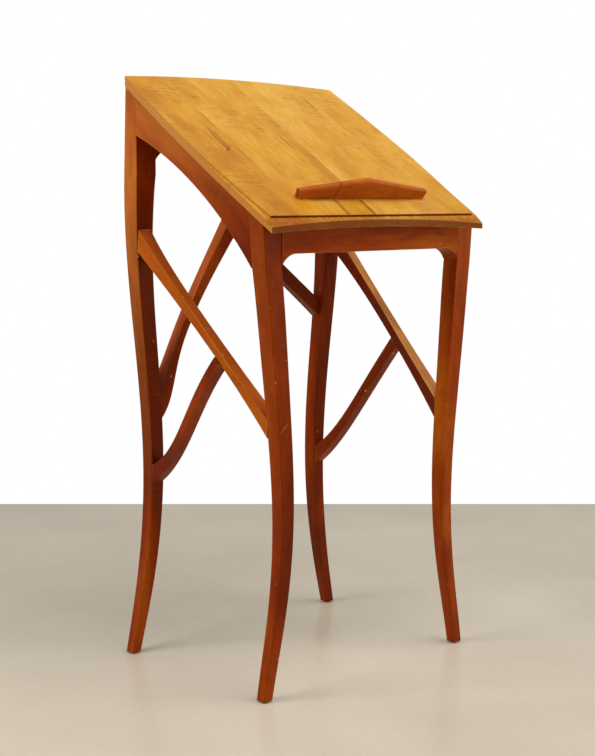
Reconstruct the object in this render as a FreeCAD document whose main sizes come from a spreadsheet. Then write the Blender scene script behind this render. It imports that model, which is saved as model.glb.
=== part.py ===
"""Standing reading desk for atlases: a sloping glued-up top on four sabre legs.

Every size is a plain number in the sheet, in millimetres or degrees.  Depths are
counted back from the front corners of the top, heights up from the floor.
"""
import FreeCAD, Part
import math
import os

import Sketcher

doc = FreeCAD.newDocument("atlas_stand")

# ---------------------------------------------------------------- sizes

SIZES = {
    # the top: outline in its own sloping plane, counted up from the front corners
    "front_reach": 260.8,
    "top_slope": 32.3,
    "top_rise": 997.3,
    "top_thick": 19,
    "front_half": 319.8,
    "front_run": 6,
    "middle_half": 324.5,
    "middle_run": 300,
    "back_half": 313,
    "back_run": 593,
    "front_hollow": 22.5,
    "back_bow": 18,
    "plank_seam": 200,
    # the raised field and its margins
    "field_step": 4.5,
    "field_run": 28.3,
    "field_half": 305.5,
    "field_bow_run": 172,
    "field_bow_half": 318.4,
    "field_end_run": 317,
    "field_end_half": 326,
    "margin_fall": 9,
    # the gabled book stop
    "stop_run": 88.6,
    "stop_thick": 15,
    "stop_centre": 5,
    "stop_half": 188,
    "stop_lean": 4.5,
    "stop_end": 21,
    "stop_peak": 47,
    "stop_bevel": 3,
    "stop_dowel_inner": 50,
    "stop_dowel_outer": 140,
    # square heads of the legs
    "head_out": 290,
    "head_width": 44,
    "head_flare": 12,
    "head_flare_top": 1060,
    "head_top": 1340,
    "front_head_back": 55,
    "back_head_out": 284.5,
    "back_head_width": 55,
    "back_head_back": 488.5,
    "back_head_depth": 48,
    "back_head_top_back": 482.4,
    "back_head_top_depth": 35.8,
    "leg_arris": 3.2,
    # rails
    "rail_thick": 25,
    "front_rail_thick": 44,
    "back_rail_thick": 25,
    "rail_groove_low": 14,
    "rail_groove_high": 8.2,
    "rail_groove_deep": 9,
    "front_rail_low": 935,
    "front_rail_shoulder": 910,
    "front_rail_sweep": 40,
    "front_rail_sweep_out": 12,
    "front_rail_sweep_up": 15,
    "front_tenon_low": 943,
    "front_tenon_high": 985,
    "side_rail_front_low": 907,
    "side_rail_middle_back": 270,
    "side_rail_middle_low": 1081,
    "side_rail_back_low": 1184,
    "side_tenon_front_low": 920,
    "side_tenon_front_high": 985,
    "side_tenon_back_low": 1198,
    "side_tenon_back_high": 1252,
    "back_rail_face": 477,
    "back_rail_low": 1157,
    "back_rail_shoulder": 1113,
    "back_rail_sweep": 45,
    "back_rail_sweep_out": 14,
    "back_rail_sweep_up": 27,
    "back_tenon_low": 1170,
    "back_tenon_high": 1245,
    "tenon_thick": 10,
    "tenon_long": 22,
    "tenon_root": 8,
    # fits
    "glue_line": 0.15,
    "mortise_ease": 0.2,
    "mortise_relief": 1,
    "dowel_radius": 4,
    "dowel_ease": 0.1,
    "dowel_relief": 1,
    # buttons that hold the top down, and their screws
    "button_long": 32,
    "button_wide": 30,
    "button_high": 18,
    "button_tongue": 8,
    "button_tongue_high": 8,
    "button_gap": 0.3,
    "button_first_run": 120,
    "button_pitch": 170,
    "screw_radius": 2,
    "screw_long": 28,
    "screw_head_radius": 4,
    "screw_head_high": 3,
    "screw_ease": 0.15,
    "screw_inset": 16,
    # glides nailed under the feet
    "glide_radius": 9,
    "glide_flat": 7,
    "glide_high": 3,
    "glide_pin_radius": 1.4,
    "glide_pin_long": 16,
    # how far the members' ends run into their neighbours before they are coped
    "cope_spread": 40,
    "cut_high": 400,
    "cut_near": 20,
    "cut_deep": 80,
    "cut_tall": 200,
    "brace_arris": 2,
}

# Stations of the curved members: name, out from the middle (or along X), back from
# the front, height, width, depth, tilt of the section.
STATIONS = {
    "front_leg": [
        ("foot", 299.0, 55, 3, 25, 25, 0),
        ("shin", 261.8, 54.4, 200, 29.9, 29.9, 0),
        ("bow", 247.2, 54.2, 400, 34.2, 34.2, 0),
        ("knee", 264.2, 53.5, 650, 39.4, 39.4, 0),
        ("thigh", 277.2, 53.7, 790, 42.6, 42.4, 0),
    ],
    "back_leg": [
        ("foot", 310.4, 504, 3, 25, 25, 0),
        ("shin", 271.1, 499.3, 200, 31, 31, 0),
        ("bow", 254.3, 494, 440, 35.2, 35.2, 0),
        ("knee", 272, 489.6, 700, 38, 38, 0),
        ("thigh", 288.8, 487, 900, 42.9, 42.9, 0),
    ],
    "side_brace_left": [
        ("front", 257.1, 62, 563, 35.5, 42, 90),
        ("wrist", 267.6, 150, 652, 29, 27.4, 90),
        ("waist", 280.1, 260, 760, 24.5, 27, 90),
        ("chest", 291, 400, 891, 27, 40, 90),
        ("back", 291.7, 484, 971.5, 40, 57, 90),
    ],
    "side_brace_right": [
        ("front", 257.1, 62, 554, 35.5, 53, 90),
        ("wrist", 267.6, 150, 643.8, 30, 36.5, 90),
        ("waist", 280.1, 260, 753.5, 24.5, 33, 90),
        ("chest", 291, 400, 893.3, 27, 42.5, 90),
        ("back", 291.7, 484, 979, 40, 60, 90),
    ],
    "side_strut_left": [
        ("top", 279.5, 208, 709.5, 25, 27, 43.4),
        ("neck", 276, 272.5, 639.2, 27.5, 23.5, 39),
        ("waist", 269.5, 333, 561.2, 28.5, 21.5, 37.5),
        ("ankle", 260.5, 398.2, 483.3, 29.5, 22, 42),
        ("leg", 255.5, 496, 413, 32, 44, 52),
    ],
    "side_strut_right": [
        ("top", 280, 222, 718.5, 25, 26, 45),
        ("neck", 277, 264.5, 663.2, 27.5, 23.5, 38),
        ("waist", 271, 327, 577.2, 28.5, 21.5, 36),
        ("ankle", 262, 389.6, 490.2, 29.5, 22, 39),
        ("leg", 256, 497, 394, 32, 40, 46),
    ],
    "back_brace": [
        ("leg", -257, 493, 545, 29, 29, -20),
        ("heel", -226.5, 492, 612, 30, 38, -18),
        ("ankle", -206, 492, 667, 30, 27, -20),
        ("waist", -165.2, 492.6, 757, 30, 19.5, -26),
        ("calf", -101.5, 492, 866, 29, 25.3, -31.5),
        ("chest", -48, 492, 947, 31.5, 31.5, -31.6),
        ("top", 98, 490.5, 1178, 26, 34, -31.6),
    ],
    "back_strut": [
        ("leg", 277.8, 495, 758.5, 29, 34, 48),
        ("ankle", 234.3, 495, 792.8, 27, 32.5, 50),
        ("waist", 160, 494, 850, 25, 32, 51),
        ("wrist", 70, 493, 919, 25, 32, 52),
        ("top", -22, 492.5, 987, 28, 36, 51),
    ],
}
FIELDS = ("out", "back", "rise", "width", "depth", "tilt")

sheet = doc.addObject("Spreadsheet::Sheet", "sizes")


def fill_sheet():
    """Write each named size as a plain number with its alias."""
    named = dict(SIZES)
    for member, rows in STATIONS.items():
        for row in rows:
            for field, number in zip(FIELDS, row[1:]):
                named["%s_%s_%s" % (member, row[0], field)] = number
    for line, (alias, number) in enumerate(named.items(), start=1):
        sheet.set("A%d" % line, alias)
        sheet.set("B%d" % line, str(number))
        sheet.setAlias("B%d" % line, alias)
    doc.recompute()
    return named


class Size:
    """A number together with the sheet formula it comes from."""

    def __init__(self, value, text):
        self.value = float(value)
        self.text = text

    def __add__(self, other):
        other = as_size(other)
        return Size(self.value + other.value, "(%s + %s)" % (self.text, other.text))

    def __sub__(self, other):
        other = as_size(other)
        return Size(self.value - other.value, "(%s - %s)" % (self.text, other.text))

    def __mul__(self, other):
        other = as_size(other)
        return Size(self.value * other.value, "%s * %s" % (self.text, other.text))

    def __truediv__(self, other):
        other = as_size(other)
        return Size(self.value / other.value, "(%s / %s)" % (self.text, other.text))

    def __neg__(self):
        return Size(-self.value, "(0 - %s)" % self.text)

    __radd__ = __add__
    __rmul__ = __mul__


def as_size(number):
    """Let plain numbers stand beside sheet sizes."""
    if isinstance(number, Size):
        return number
    return Size(number, "(%r)" % float(number))


def sine(angle):
    return Size(math.sin(math.radians(angle.value)), "sin(%s * 1 deg)" % angle.text)


def cosine(angle):
    return Size(math.cos(math.radians(angle.value)), "cos(%s * 1 deg)" % angle.text)


NAMED = fill_sheet()


def size(alias):
    """The sheet cell with this alias."""
    return Size(NAMED[alias], "sizes." + alias)


def behind(alias):
    """Y of a depth that is counted back from the front corners of the top."""
    return size(alias) - size("front_reach")


def on_slope(run, lift):
    """Y and Z of a point: run up the slope, lift square off the field of the top."""
    slope = size("top_slope")
    run = as_size(run)
    lift = as_size(lift)
    back = run * cosine(slope) - lift * sine(slope) - size("front_reach")
    rise = size("top_rise") + run * sine(slope) + lift * cosine(slope)
    return back, rise


# ---------------------------------------------------------------- helpers

AXIS_X = FreeCAD.Vector(1, 0, 0)
AXIS_Y = FreeCAD.Vector(0, 1, 0)
AXIS_Z = FreeCAD.Vector(0, 0, 1)
TURN_BACK = FreeCAD.Vector(0, -1, 0)


def bind(item, path, number):
    """Tie one property to its sheet formula."""
    item.setExpression(path, as_size(number).text)


def place(item, prefix, point, axis=AXIS_Z, angle=0):
    """Set and bind a placement from three coordinates and one turn."""
    point = [as_size(part) for part in point]
    angle = as_size(angle)
    base = FreeCAD.Vector(*[part.value for part in point])
    turn = FreeCAD.Rotation(axis, angle.value)
    setattr(item, prefix, FreeCAD.Placement(base, turn))
    for letter, part in zip("xyz", point):
        bind(item, "%s.Base.%s" % (prefix, letter), part)
    if angle.value:
        bind(item, prefix + ".Rotation.Angle", angle)


def origin_plane(body, role):
    """One of the body's own origin planes."""
    return [item for item in body.Origin.OriginFeatures if item.Role == role][0]


def new_sketch(body, name, role, point=(0, 0, 0), axis=AXIS_Z, angle=0):
    """Attach a sketch to an origin plane of its body, moved and turned from it."""
    sketch = body.newObject("Sketcher::SketchObject", name)
    sketch.AttachmentSupport = [(origin_plane(body, role), "")]
    sketch.MapMode = "FlatFace"
    place(sketch, "AttachmentOffset", point, axis, angle)
    return sketch


def fix_point(sketch, geo, end, x, y):
    """Hold one sketch point at its sheet coordinates."""
    for kind, number in (("DistanceX", x), ("DistanceY", y)):
        index = sketch.addConstraint(Sketcher.Constraint(kind, geo, end, number.value))
        bind(sketch, "Constraints[%d]" % index, number)


def draw_outline(sketch, corners):
    """Close a run of lines and arcs.

    A corner is (x, y), or (x, y, via_x, via_y) where the edge that leaves it is an
    arc through the via point.
    """
    corners = [[as_size(part) for part in corner] for corner in corners]
    edges = []
    for corner, following in zip(corners, corners[1:] + corners[:1]):
        start = FreeCAD.Vector(corner[0].value, corner[1].value, 0)
        stop = FreeCAD.Vector(following[0].value, following[1].value, 0)
        if len(corner) == 2:
            index = sketch.addGeometry(Part.LineSegment(start, stop), False)
            edges.append((index, 1, 2))
            continue
        via = FreeCAD.Vector(corner[2].value, corner[3].value, 0)
        index = sketch.addGeometry(Part.Arc(start, via, stop), False)
        first = sketch.getPoint(index, 1)
        forward = first.distanceToPoint(start) < first.distanceToPoint(stop)
        edges.append((index, 1, 2) if forward else (index, 2, 1))
        mark = sketch.addGeometry(Part.Point(via), True)
        fix_point(sketch, mark, 1, corner[2], corner[3])
        sketch.addConstraint(Sketcher.Constraint("PointOnObject", mark, 1, index))
    for edge, following in zip(edges, edges[1:] + edges[:1]):
        joint = Sketcher.Constraint("Coincident", edge[0], edge[2], following[0], following[1])
        sketch.addConstraint(joint)
    for edge, corner in zip(edges, corners):
        fix_point(sketch, edge[0], edge[1], corner[0], corner[1])


def box_corners(low_x, low_y, high_x, high_y):
    """The four corners of an upright rectangle."""
    return [(low_x, low_y), (high_x, low_y), (high_x, high_y), (low_x, high_y)]


def add_pad(body, sketch, name, length):
    pad = body.newObject("PartDesign::Pad", name)
    pad.Profile = sketch
    pad.Length = as_size(length).value
    bind(pad, "Length", length)
    return pad


def rounded_square(sketch, width, depth, radius):
    """A rectangle about the sketch origin with its four corners rounded."""
    half_x = width.value / 2
    half_y = depth.value / 2
    inner_x = half_x - radius.value
    inner_y = half_y - radius.value
    vector = FreeCAD.Vector
    sides = [
        (vector(-inner_x, -half_y, 0), vector(inner_x, -half_y, 0)),
        (vector(half_x, -inner_y, 0), vector(half_x, inner_y, 0)),
        (vector(inner_x, half_y, 0), vector(-inner_x, half_y, 0)),
        (vector(-half_x, inner_y, 0), vector(-half_x, -inner_y, 0)),
    ]
    centres = [
        (vector(inner_x, -inner_y, 0), -math.pi / 2),
        (vector(inner_x, inner_y, 0), 0),
        (vector(-inner_x, inner_y, 0), math.pi / 2),
        (vector(-inner_x, -inner_y, 0), math.pi),
    ]
    for side, (centre, start) in zip(sides, centres):
        sketch.addGeometry(Part.LineSegment(*side), False)
        circle = Part.Circle(centre, AXIS_Z, radius.value)
        sketch.addGeometry(Part.ArcOfCircle(circle, start, start + math.pi / 2), False)
    lines = (0, 2, 4, 6)
    arcs = (1, 3, 5, 7)
    for line, arc in zip(lines, arcs):
        sketch.addConstraint(Sketcher.Constraint("Tangent", line, 2, arc, 1))
        sketch.addConstraint(Sketcher.Constraint("Tangent", arc, 2, (arc + 1) % 8, 1))
    for line, kind in zip(lines, ("Horizontal", "Vertical", "Horizontal", "Vertical")):
        sketch.addConstraint(Sketcher.Constraint(kind, line))
    for arc in arcs[1:]:
        sketch.addConstraint(Sketcher.Constraint("Equal", arcs[0], arc))
    driven = [
        (Sketcher.Constraint("Radius", 1, radius.value), radius),
        (Sketcher.Constraint("DistanceX", 6, 1, 2, 1, width.value), width),
        (Sketcher.Constraint("DistanceY", 0, 1, 4, 1, depth.value), depth),
    ]
    for constraint, number in driven:
        index = sketch.addConstraint(constraint)
        bind(sketch, "Constraints[%d]" % index, number)
    sketch.addConstraint(Sketcher.Constraint("Symmetric", 1, 3, 5, 3, -1, 1))


def add_loft(body, sketches, name, ruled=False):
    loft = body.newObject("PartDesign::AdditiveLoft", name)
    loft.Profile = sketches[0]
    loft.Sections = sketches[1:]
    loft.Ruled = ruled
    doc.recompute()
    return loft


def stations_of(member, side=1):
    """The member's stations as sheet sizes; side mirrors it across the middle."""
    found = []
    for row in STATIONS[member]:
        prefix = "%s_%s_" % (member, row[0])
        found.append({
            "x": side * size(prefix + "out"),
            "y": behind(prefix + "back"),
            "z": size(prefix + "rise"),
            "width": size(prefix + "width"),
            "depth": size(prefix + "depth"),
            "tilt": size(prefix + "tilt"),
        })
    return found


def station_sketch(body, name, station, arris, across, spare=(0, 0)):
    """One section of a curved member.

    Members that run front to back tilt about X and have their width along X.  The
    ones in the back plane tilt about Y and have their width along Y.
    """
    point = (station["x"], station["y"], station["z"])
    if across:
        sketch = new_sketch(body, name, "XY_Plane", point, TURN_BACK, station["tilt"])
        wide = station["depth"]
        deep = station["width"]
    else:
        sketch = new_sketch(body, name, "XY_Plane", point, AXIS_X, station["tilt"])
        wide = station["width"]
        deep = station["depth"]
    rounded_square(sketch, wide + spare[0], deep + spare[1], arris)
    return sketch


def curved_member(name, stations, arris, across=False, spare=(0, 0)):
    """A swelled and curved member lofted through its stations."""
    body = doc.addObject("PartDesign::Body", name)
    sketches = []
    for number, station in enumerate(stations):
        label = "%s_station_%d" % (name, number)
        sketches.append(station_sketch(body, label, station, arris, across, spare))
    doc.recompute()
    add_loft(body, sketches, name + "_sweep")
    return body


def block(name, point, lengths, axis=AXIS_Z, angle=0):
    """A rectangular block from its low corner."""
    item = doc.addObject("Part::Box", name)
    for side, number in zip(("Length", "Width", "Height"), lengths):
        bind(item, side, number)
    place(item, "Placement", point, axis, angle)
    return item


def rod(name, point, length, radius, axis=AXIS_Z, angle=0):
    """A round rod that starts at its point and runs along its turned Z axis."""
    item = doc.addObject("Part::Cylinder", name)
    bind(item, "Radius", radius)
    bind(item, "Height", length)
    place(item, "Placement", point, axis, angle)
    return item


def join(name, items):
    fused = doc.addObject("Part::MultiFuse", name)
    fused.Shapes = items
    return fused


def group(name, items):
    """Loose solids that belong to one named piece."""
    together = doc.addObject("Part::Compound", name)
    together.Links = items
    return together


def cut_away(name, base, tools):
    """Take all the tools out of the base."""
    result = doc.addObject("Part::Cut", name)
    result.Base = base
    result.Tool = tools[0] if len(tools) == 1 else join(name + "_tools", tools)
    return result


pieces = []


def keep(item, node):
    """Name a finished piece and list it for writing."""
    item.Label = node
    pieces.append(item)
    return item


# ---------------------------------------------------------------- dowels

def dowel_rod(name, plane, point, angle, half, radius):
    """A rod centred on a joint, lying in the side (YZ) or back (XZ) plane.

    Its angle is counted up from +Y in the side plane and from +X in the back plane.
    """
    x, y, z = [as_size(part) for part in point]
    angle = as_size(angle)
    if plane == "side":
        start = (x, y - half * cosine(angle), z - half * sine(angle))
        return rod(name, start, half * 2, radius, AXIS_X, angle - 90)
    start = (x - half * cosine(angle), y, z - half * sine(angle))
    return rod(name, start, half * 2, radius, AXIS_Y, as_size(90) - angle)


def dowel_pair(name, plane, point, angle, half):
    """A dowel and the slightly wider, longer hole it is glued in."""
    radius = size("dowel_radius")
    half = as_size(half)
    dowel = dowel_rod(name, plane, point, angle, half, radius)
    wide = radius + size("dowel_ease")
    deep = half + size("dowel_relief")
    hole = dowel_rod(name + "_hole", plane, point, angle, deep, wide)
    return dowel, hole


SIDE_JOINTS = {
    # joint: (out, back, height, angle, offset each way square to the dowel, half length)
    "left": {
        "brace_back": (291, 467.5, 956.7, 43.2, 9.5, 18),
        "brace_front": (259, 74, 575, 45.3, 7.5, 16),
        "strut_top": (279.5, 219, 698, 133, 0, 11),
        "strut_leg": (255.5, 477.3, 428.4, -39, 0, 17),
    },
    "right": {
        "brace_back": (291, 467.5, 963, 44.6, 9.5, 18),
        "brace_front": (259, 74, 566, 46, 7.5, 16),
        "strut_top": (280, 233.2, 706.7, 134, 0, 11),
        "strut_leg": (256, 477.3, 413.6, -43, 0, 17),
    },
}
BACK_JOINTS = {
    "brace_leg_low": (-243.5, 492, 572, 0, 0, 12),
    "brace_leg_high": (-247, 492, 612, 0, 0, 14),
    "brace_rail": (84.5, 490, 1157, 58.4, 9, 18),
    "strut_leg": (260.5, 495, 770.5, 140, 9.5, 16),
    "strut_top": (-5.5, 493, 974, 141, 8, 13),
}
JOINT_FIELDS = ("out", "back", "rise", "angle", "offset", "half")


def fill_joints():
    """Add the dowelled joints to the sheet."""
    rows = [("joint_back_" + key, row) for key, row in BACK_JOINTS.items()]
    for hand, joints in SIDE_JOINTS.items():
        rows += [("joint_%s_%s" % (hand, key), row) for key, row in joints.items()]
    line = len(NAMED)
    for prefix, row in rows:
        for field, number in zip(JOINT_FIELDS, row):
            line += 1
            alias = "%s_%s" % (prefix, field)
            NAMED[alias] = number
            sheet.set("A%d" % line, alias)
            sheet.set("B%d" % line, str(number))
            sheet.setAlias("B%d" % line, alias)
    doc.recompute()


def joint_dowels(prefix, plane, side=1):
    """One or two dowels of a joint, with their holes."""
    angle = size(prefix + "_angle")
    offset = size(prefix + "_offset")
    x = side * size(prefix + "_out")
    y = behind(prefix + "_back")
    z = size(prefix + "_rise")
    half = size(prefix + "_half")
    signs = (1, -1) if offset.value else (0,)
    dowels = []
    holes = []
    for number, sign in enumerate(signs):
        shift = sign * offset
        if plane == "side":
            point = (x, y - shift * sine(angle), z + shift * cosine(angle))
        else:
            point = (x - shift * sine(angle), y, z + shift * cosine(angle))
        name = "%s_dowel_%d" % (prefix, number)
        dowel, hole = dowel_pair(name, plane, point, angle, half)
        dowels.append(dowel)
        holes.append(hole)
    return dowels, holes


fill_joints()

# ---------------------------------------------------------------- legs


def head_station(kind, side, top):
    """One end of a leg's head, below at the rail's shoulder or above at the slope."""
    if kind == "front_leg":
        flare = size("head_flare") if top else as_size(0)
        out = size("head_out") + flare / 2
        back = behind("front_head_back")
        width = size("head_width") + flare
        depth = size("head_width")
        rise = size("head_flare_top") if top else size("front_rail_shoulder") - 1
    else:
        level = "back_head_top_" if top else "back_head_"
        out = size("back_head_out")
        back = behind(level + "back")
        width = size("back_head_width")
        depth = size(level + "depth")
        rise = size("head_top") if top else size("back_rail_shoulder") - 12
    return {
        "x": side * out,
        "y": back,
        "z": rise,
        "width": width,
        "depth": depth,
        "tilt": size("front_leg_foot_tilt"),
    }


def head_face(end):
    """How far out the inner face of a leg's head stands."""
    if end == "front":
        return size("head_out") - size("head_width") / 2
    return size("back_head_out") - size("back_head_width") / 2


def side_shoulder(end):
    """Y of the face of a leg's head that a side rail meets."""
    if end == "front":
        return behind("front_head_back") + size("head_width") / 2
    return behind("back_head_back") - size("back_head_depth") / 2


def leg_form(kind, hand, side):
    """A sabre leg before any mortise: curved shank below, square head above."""
    name = "%s_%s" % (kind, hand)
    low = head_station(kind, side, False)
    body = curved_member(name + "_form", stations_of(kind, side) + [low], size("leg_arris"))
    ends = []
    for level, station in (("low", low), ("high", head_station(kind, side, True))):
        label = "%s_head_%s" % (name, level)
        ends.append(station_sketch(body, label, station, size("leg_arris"), False))
    doc.recompute()
    add_loft(body, ends, name + "_head", ruled=True)
    return body


def cope_form(kind, hand, side, along):
    """The leg's faces drawn wide, to cope the members that meet it.

    Members that run front to back need it wide along X, the back ones along Y.
    """
    glue = size("glue_line") * 2
    wide = size("cope_spread")
    spare = (wide, glue) if along == "x" else (glue, wide)
    stations = stations_of(kind, side) + [head_station(kind, side, False)]
    name = "%s_%s_cope_%s" % (kind, hand, along)
    return curved_member(name, stations, size("brace_arris"), spare=spare)


def above_slope():
    """Everything over the underside of the top."""
    wide = size("middle_half") * 2 + size("cope_spread")
    back, rise = on_slope(-size("cope_spread"), -size("top_thick"))
    deep = size("back_run") + size("cope_spread") * 3
    point = (-(wide / 2), back, rise)
    lengths = (wide, deep, size("cut_high"))
    return block("over_the_rails", point, lengths, AXIS_X, size("top_slope"))


def mortise(name, low, high):
    """A mortise with its ease, from the low and high corners of its tenon."""
    ease = size("mortise_ease")
    point = [part - ease for part in low]
    lengths = [top - bottom + ease * 2 for bottom, top in zip(low, high)]
    return block(name, point, lengths)


def pilot(name, x, y):
    """Hole up a foot for the pin of its glide."""
    point = (x, y, size("glide_high") - 1)
    deep = size("glide_pin_long") + size("dowel_relief") + 1
    return rod(name, point, deep, size("glide_pin_radius") + size("dowel_ease"))


def tenon_centre(side):
    """X of the middle of a side rail."""
    return side * (size("head_out") + size("head_width") / 2 - size("rail_thick") / 2)


def side_tenon_ends(end, side):
    """Low and high corners of a side rail's tenon, for its mortise."""
    half = size("tenon_thick") / 2
    x = tenon_centre(side)
    shoulder = side_shoulder(end)
    if end == "front":
        low_y = shoulder - size("tenon_long") - size("mortise_relief")
        high_y = shoulder + size("mortise_relief")
    else:
        low_y = shoulder - size("mortise_relief")
        high_y = shoulder + size("tenon_long") + size("mortise_relief")
    low = (x - half, low_y, size("side_tenon_%s_low" % end))
    high = (x + half, high_y, size("side_tenon_%s_high" % end))
    return low, high


def cross_tenon_ends(end, side):
    """Low and high corners of a front or back rail's tenon, for its mortise."""
    half = size("tenon_thick") / 2
    y = cross_rail_middle(end)
    inner = head_face(end)
    near = inner - size("mortise_relief")
    far = inner + size("tenon_long") + size("mortise_relief")
    ends = sorted((side * near, side * far), key=lambda item: item.value)
    low = (ends[0], y - half, size(end + "_tenon_low"))
    high = (ends[1], y + half, size(end + "_tenon_high"))
    return low, high


def cross_rail_middle(end):
    """Y of the middle of the front or back rail."""
    if end == "front":
        face = behind("front_head_back") - size("head_width") / 2
    else:
        face = behind("back_rail_face")
    return face + size(end + "_rail_thick") / 2


def build_leg(end, hand, side, form, slope, holes):
    """Cut the head to the slope, then its mortises, dowel holes and glide hole."""
    name = "leg_%s_%s" % (end, hand)
    foot = end + "_leg_foot_"
    tools = [slope]
    tools.append(mortise(name + "_side_mortise", *side_tenon_ends(end, side)))
    tools.append(mortise(name + "_cross_mortise", *cross_tenon_ends(end, side)))
    tools.append(pilot(name + "_pilot", side * size(foot + "out"), behind(foot + "back")))
    return keep(cut_away(name, form, tools + holes), name)


# ---------------------------------------------------------------- rails

def build_cross_rail(end, slope, tools):
    """Front or back rail: straight below, sweeping down to its shoulders."""
    name = end + "_rail"
    body = doc.addObject("PartDesign::Body", name + "_form")
    inner = head_face(end)
    low = size(end + "_rail_low")
    shoulder = size(end + "_rail_shoulder")
    start = inner - size(end + "_rail_sweep")
    via_x = inner - size(end + "_rail_sweep_out")
    via_z = shoulder + size(end + "_rail_sweep_up")
    high = size("head_top")
    middle = cross_rail_middle(end)
    thick = size(name + "_thick")
    face = -(middle + thick / 2)
    sketch = new_sketch(body, name + "_face", "XZ_Plane", (0, 0, face))
    draw_outline(sketch, [
        (-inner, high),
        (-inner, shoulder, -via_x, via_z),
        (-start, low),
        (start, low, via_x, via_z),
        (inner, shoulder),
        (inner, high),
    ])
    add_pad(body, sketch, name + "_board", thick)
    tongue = inner + size("tenon_long")
    face = -(middle + size("tenon_thick") / 2)
    sketch = new_sketch(body, name + "_tenon_face", "XZ_Plane", (0, 0, face))
    ends = (size(end + "_tenon_low"), size(end + "_tenon_high"))
    draw_outline(sketch, box_corners(-tongue, ends[0], tongue, ends[1]))
    add_pad(body, sketch, name + "_tenons", size("tenon_thick"))
    doc.recompute()
    return keep(cut_away(name, body, [slope] + tools), name)


def build_side_rail(hand, side, slope, tools):
    """Side rail: its lower edge is one long arc, with a tenon at each end."""
    name = "side_rail_" + hand
    body = doc.addObject("PartDesign::Body", name + "_form")
    front = side_shoulder("front")
    back = side_shoulder("back")
    high = size("head_top")
    middle = tenon_centre(side)
    near = middle - size("rail_thick") / 2
    sketch = new_sketch(body, name + "_face", "YZ_Plane", (0, 0, near))
    draw_outline(sketch, [
        (front, high),
        (front, size("side_rail_front_low"),
         behind("side_rail_middle_back"), size("side_rail_middle_low")),
        (back, size("side_rail_back_low")),
        (back, high),
    ])
    add_pad(body, sketch, name + "_board", size("rail_thick"))
    near = middle - size("tenon_thick") / 2
    sketch = new_sketch(body, name + "_tenon_face", "YZ_Plane", (0, 0, near))
    tongue = size("tenon_long")
    root = size("tenon_root")
    draw_outline(sketch, box_corners(
        front - tongue, size("side_tenon_front_low"),
        front + root, size("side_tenon_front_high")))
    draw_outline(sketch, box_corners(
        back - root, size("side_tenon_back_low"),
        back + tongue, size("side_tenon_back_high")))
    add_pad(body, sketch, name + "_tenons", size("tenon_thick"))
    doc.recompute()
    return keep(cut_away(name, body, [slope, button_groove(hand, side)] + tools), name)


# ---------------------------------------------------------------- top fixings

def rail_inner_face(side):
    """X of the inner face of a side rail."""
    return side * (size("head_out") + size("head_width") / 2 - size("rail_thick"))


def button_groove(hand, side):
    """The groove along a side rail that takes the tongues of the buttons."""
    deep = size("rail_groove_deep")
    face = rail_inner_face(side)
    low_x = face - 1 if side > 0 else face - deep
    lift = -(size("top_thick") + size("rail_groove_low"))
    back, rise = on_slope(size("field_run") * 2, lift)
    lengths = (deep + 1, size("back_run") - size("field_run") * 3, size("rail_groove_high"))
    name = "groove_" + hand
    return block(name, (low_x, back, rise), lengths, AXIS_X, size("top_slope"))


def build_buttons():
    """L-shaped buttons in the grooves, each with a screw up into the top."""
    buttons = []
    screws = []
    pilots = {-1: [], 1: []}
    slope = size("top_slope")
    wide = size("button_wide")
    high = size("button_high")
    under = -size("top_thick")
    for side, hand in ((-1, "left"), (1, "right")):
        for number in range(3):
            name = "button_%s_%d" % (hand, number)
            run = size("button_first_run") + number * size("button_pitch")
            face = rail_inner_face(side)
            gap = size("button_gap")
            low_x = face - wide - gap if side > 0 else face + gap
            back, rise = on_slope(run, under - high)
            body_block = block(name + "_block", (low_x, back, rise),
                               (wide, size("button_long"), high), AXIS_X, slope)
            reach = size("button_tongue")
            tongue_x = face - gap * 2 if side > 0 else face - reach
            lift = under - size("rail_groove_low") + size("mortise_ease") / 2
            back, rise = on_slope(run, lift)
            tongue = block(name + "_tongue", (tongue_x, back, rise),
                           (reach + gap * 2, size("button_long"), size("button_tongue_high")),
                           AXIS_X, slope)
            screw_x = face - side * (gap + size("screw_inset"))
            screw_run = run + size("button_long") / 2
            screw, hole = button_screw(name, screw_x, screw_run, under - high)
            whole = join(name + "_whole", [body_block, tongue])
            buttons.append(cut_away(name, whole, [hole]))
            screws.append(screw)
            pilots[side].append(hole)
    keep(group("top_buttons_group", buttons), "top_buttons")
    keep(group("top_screws_group", screws), "top_screws")
    return pilots


def button_screw(name, x, run, lift):
    """A countersunk screw driven up from the underside of a button, and its hole."""
    shank = size("screw_radius")
    head = size("screw_head_radius")
    tall = size("screw_head_high")
    slope = size("top_slope")
    made = []
    for label, ease in (("screw", as_size(0)), ("screw_hole", size("screw_ease"))):
        back, rise = on_slope(run, lift + 0.2 - ease)
        point = (x, back, rise)
        long = size("screw_long") + ease * 4
        stem = rod("%s_%s_stem" % (name, label), point, long, shank + ease, AXIS_X, slope)
        cone = doc.addObject("Part::Cone", "%s_%s_head" % (name, label))
        bind(cone, "Radius1", head + ease)
        bind(cone, "Radius2", shank + ease)
        bind(cone, "Height", tall)
        place(cone, "Placement", point, AXIS_X, slope)
        made.append(join("%s_%s" % (name, label), [stem, cone]))
    return made


# ---------------------------------------------------------------- the top

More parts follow.
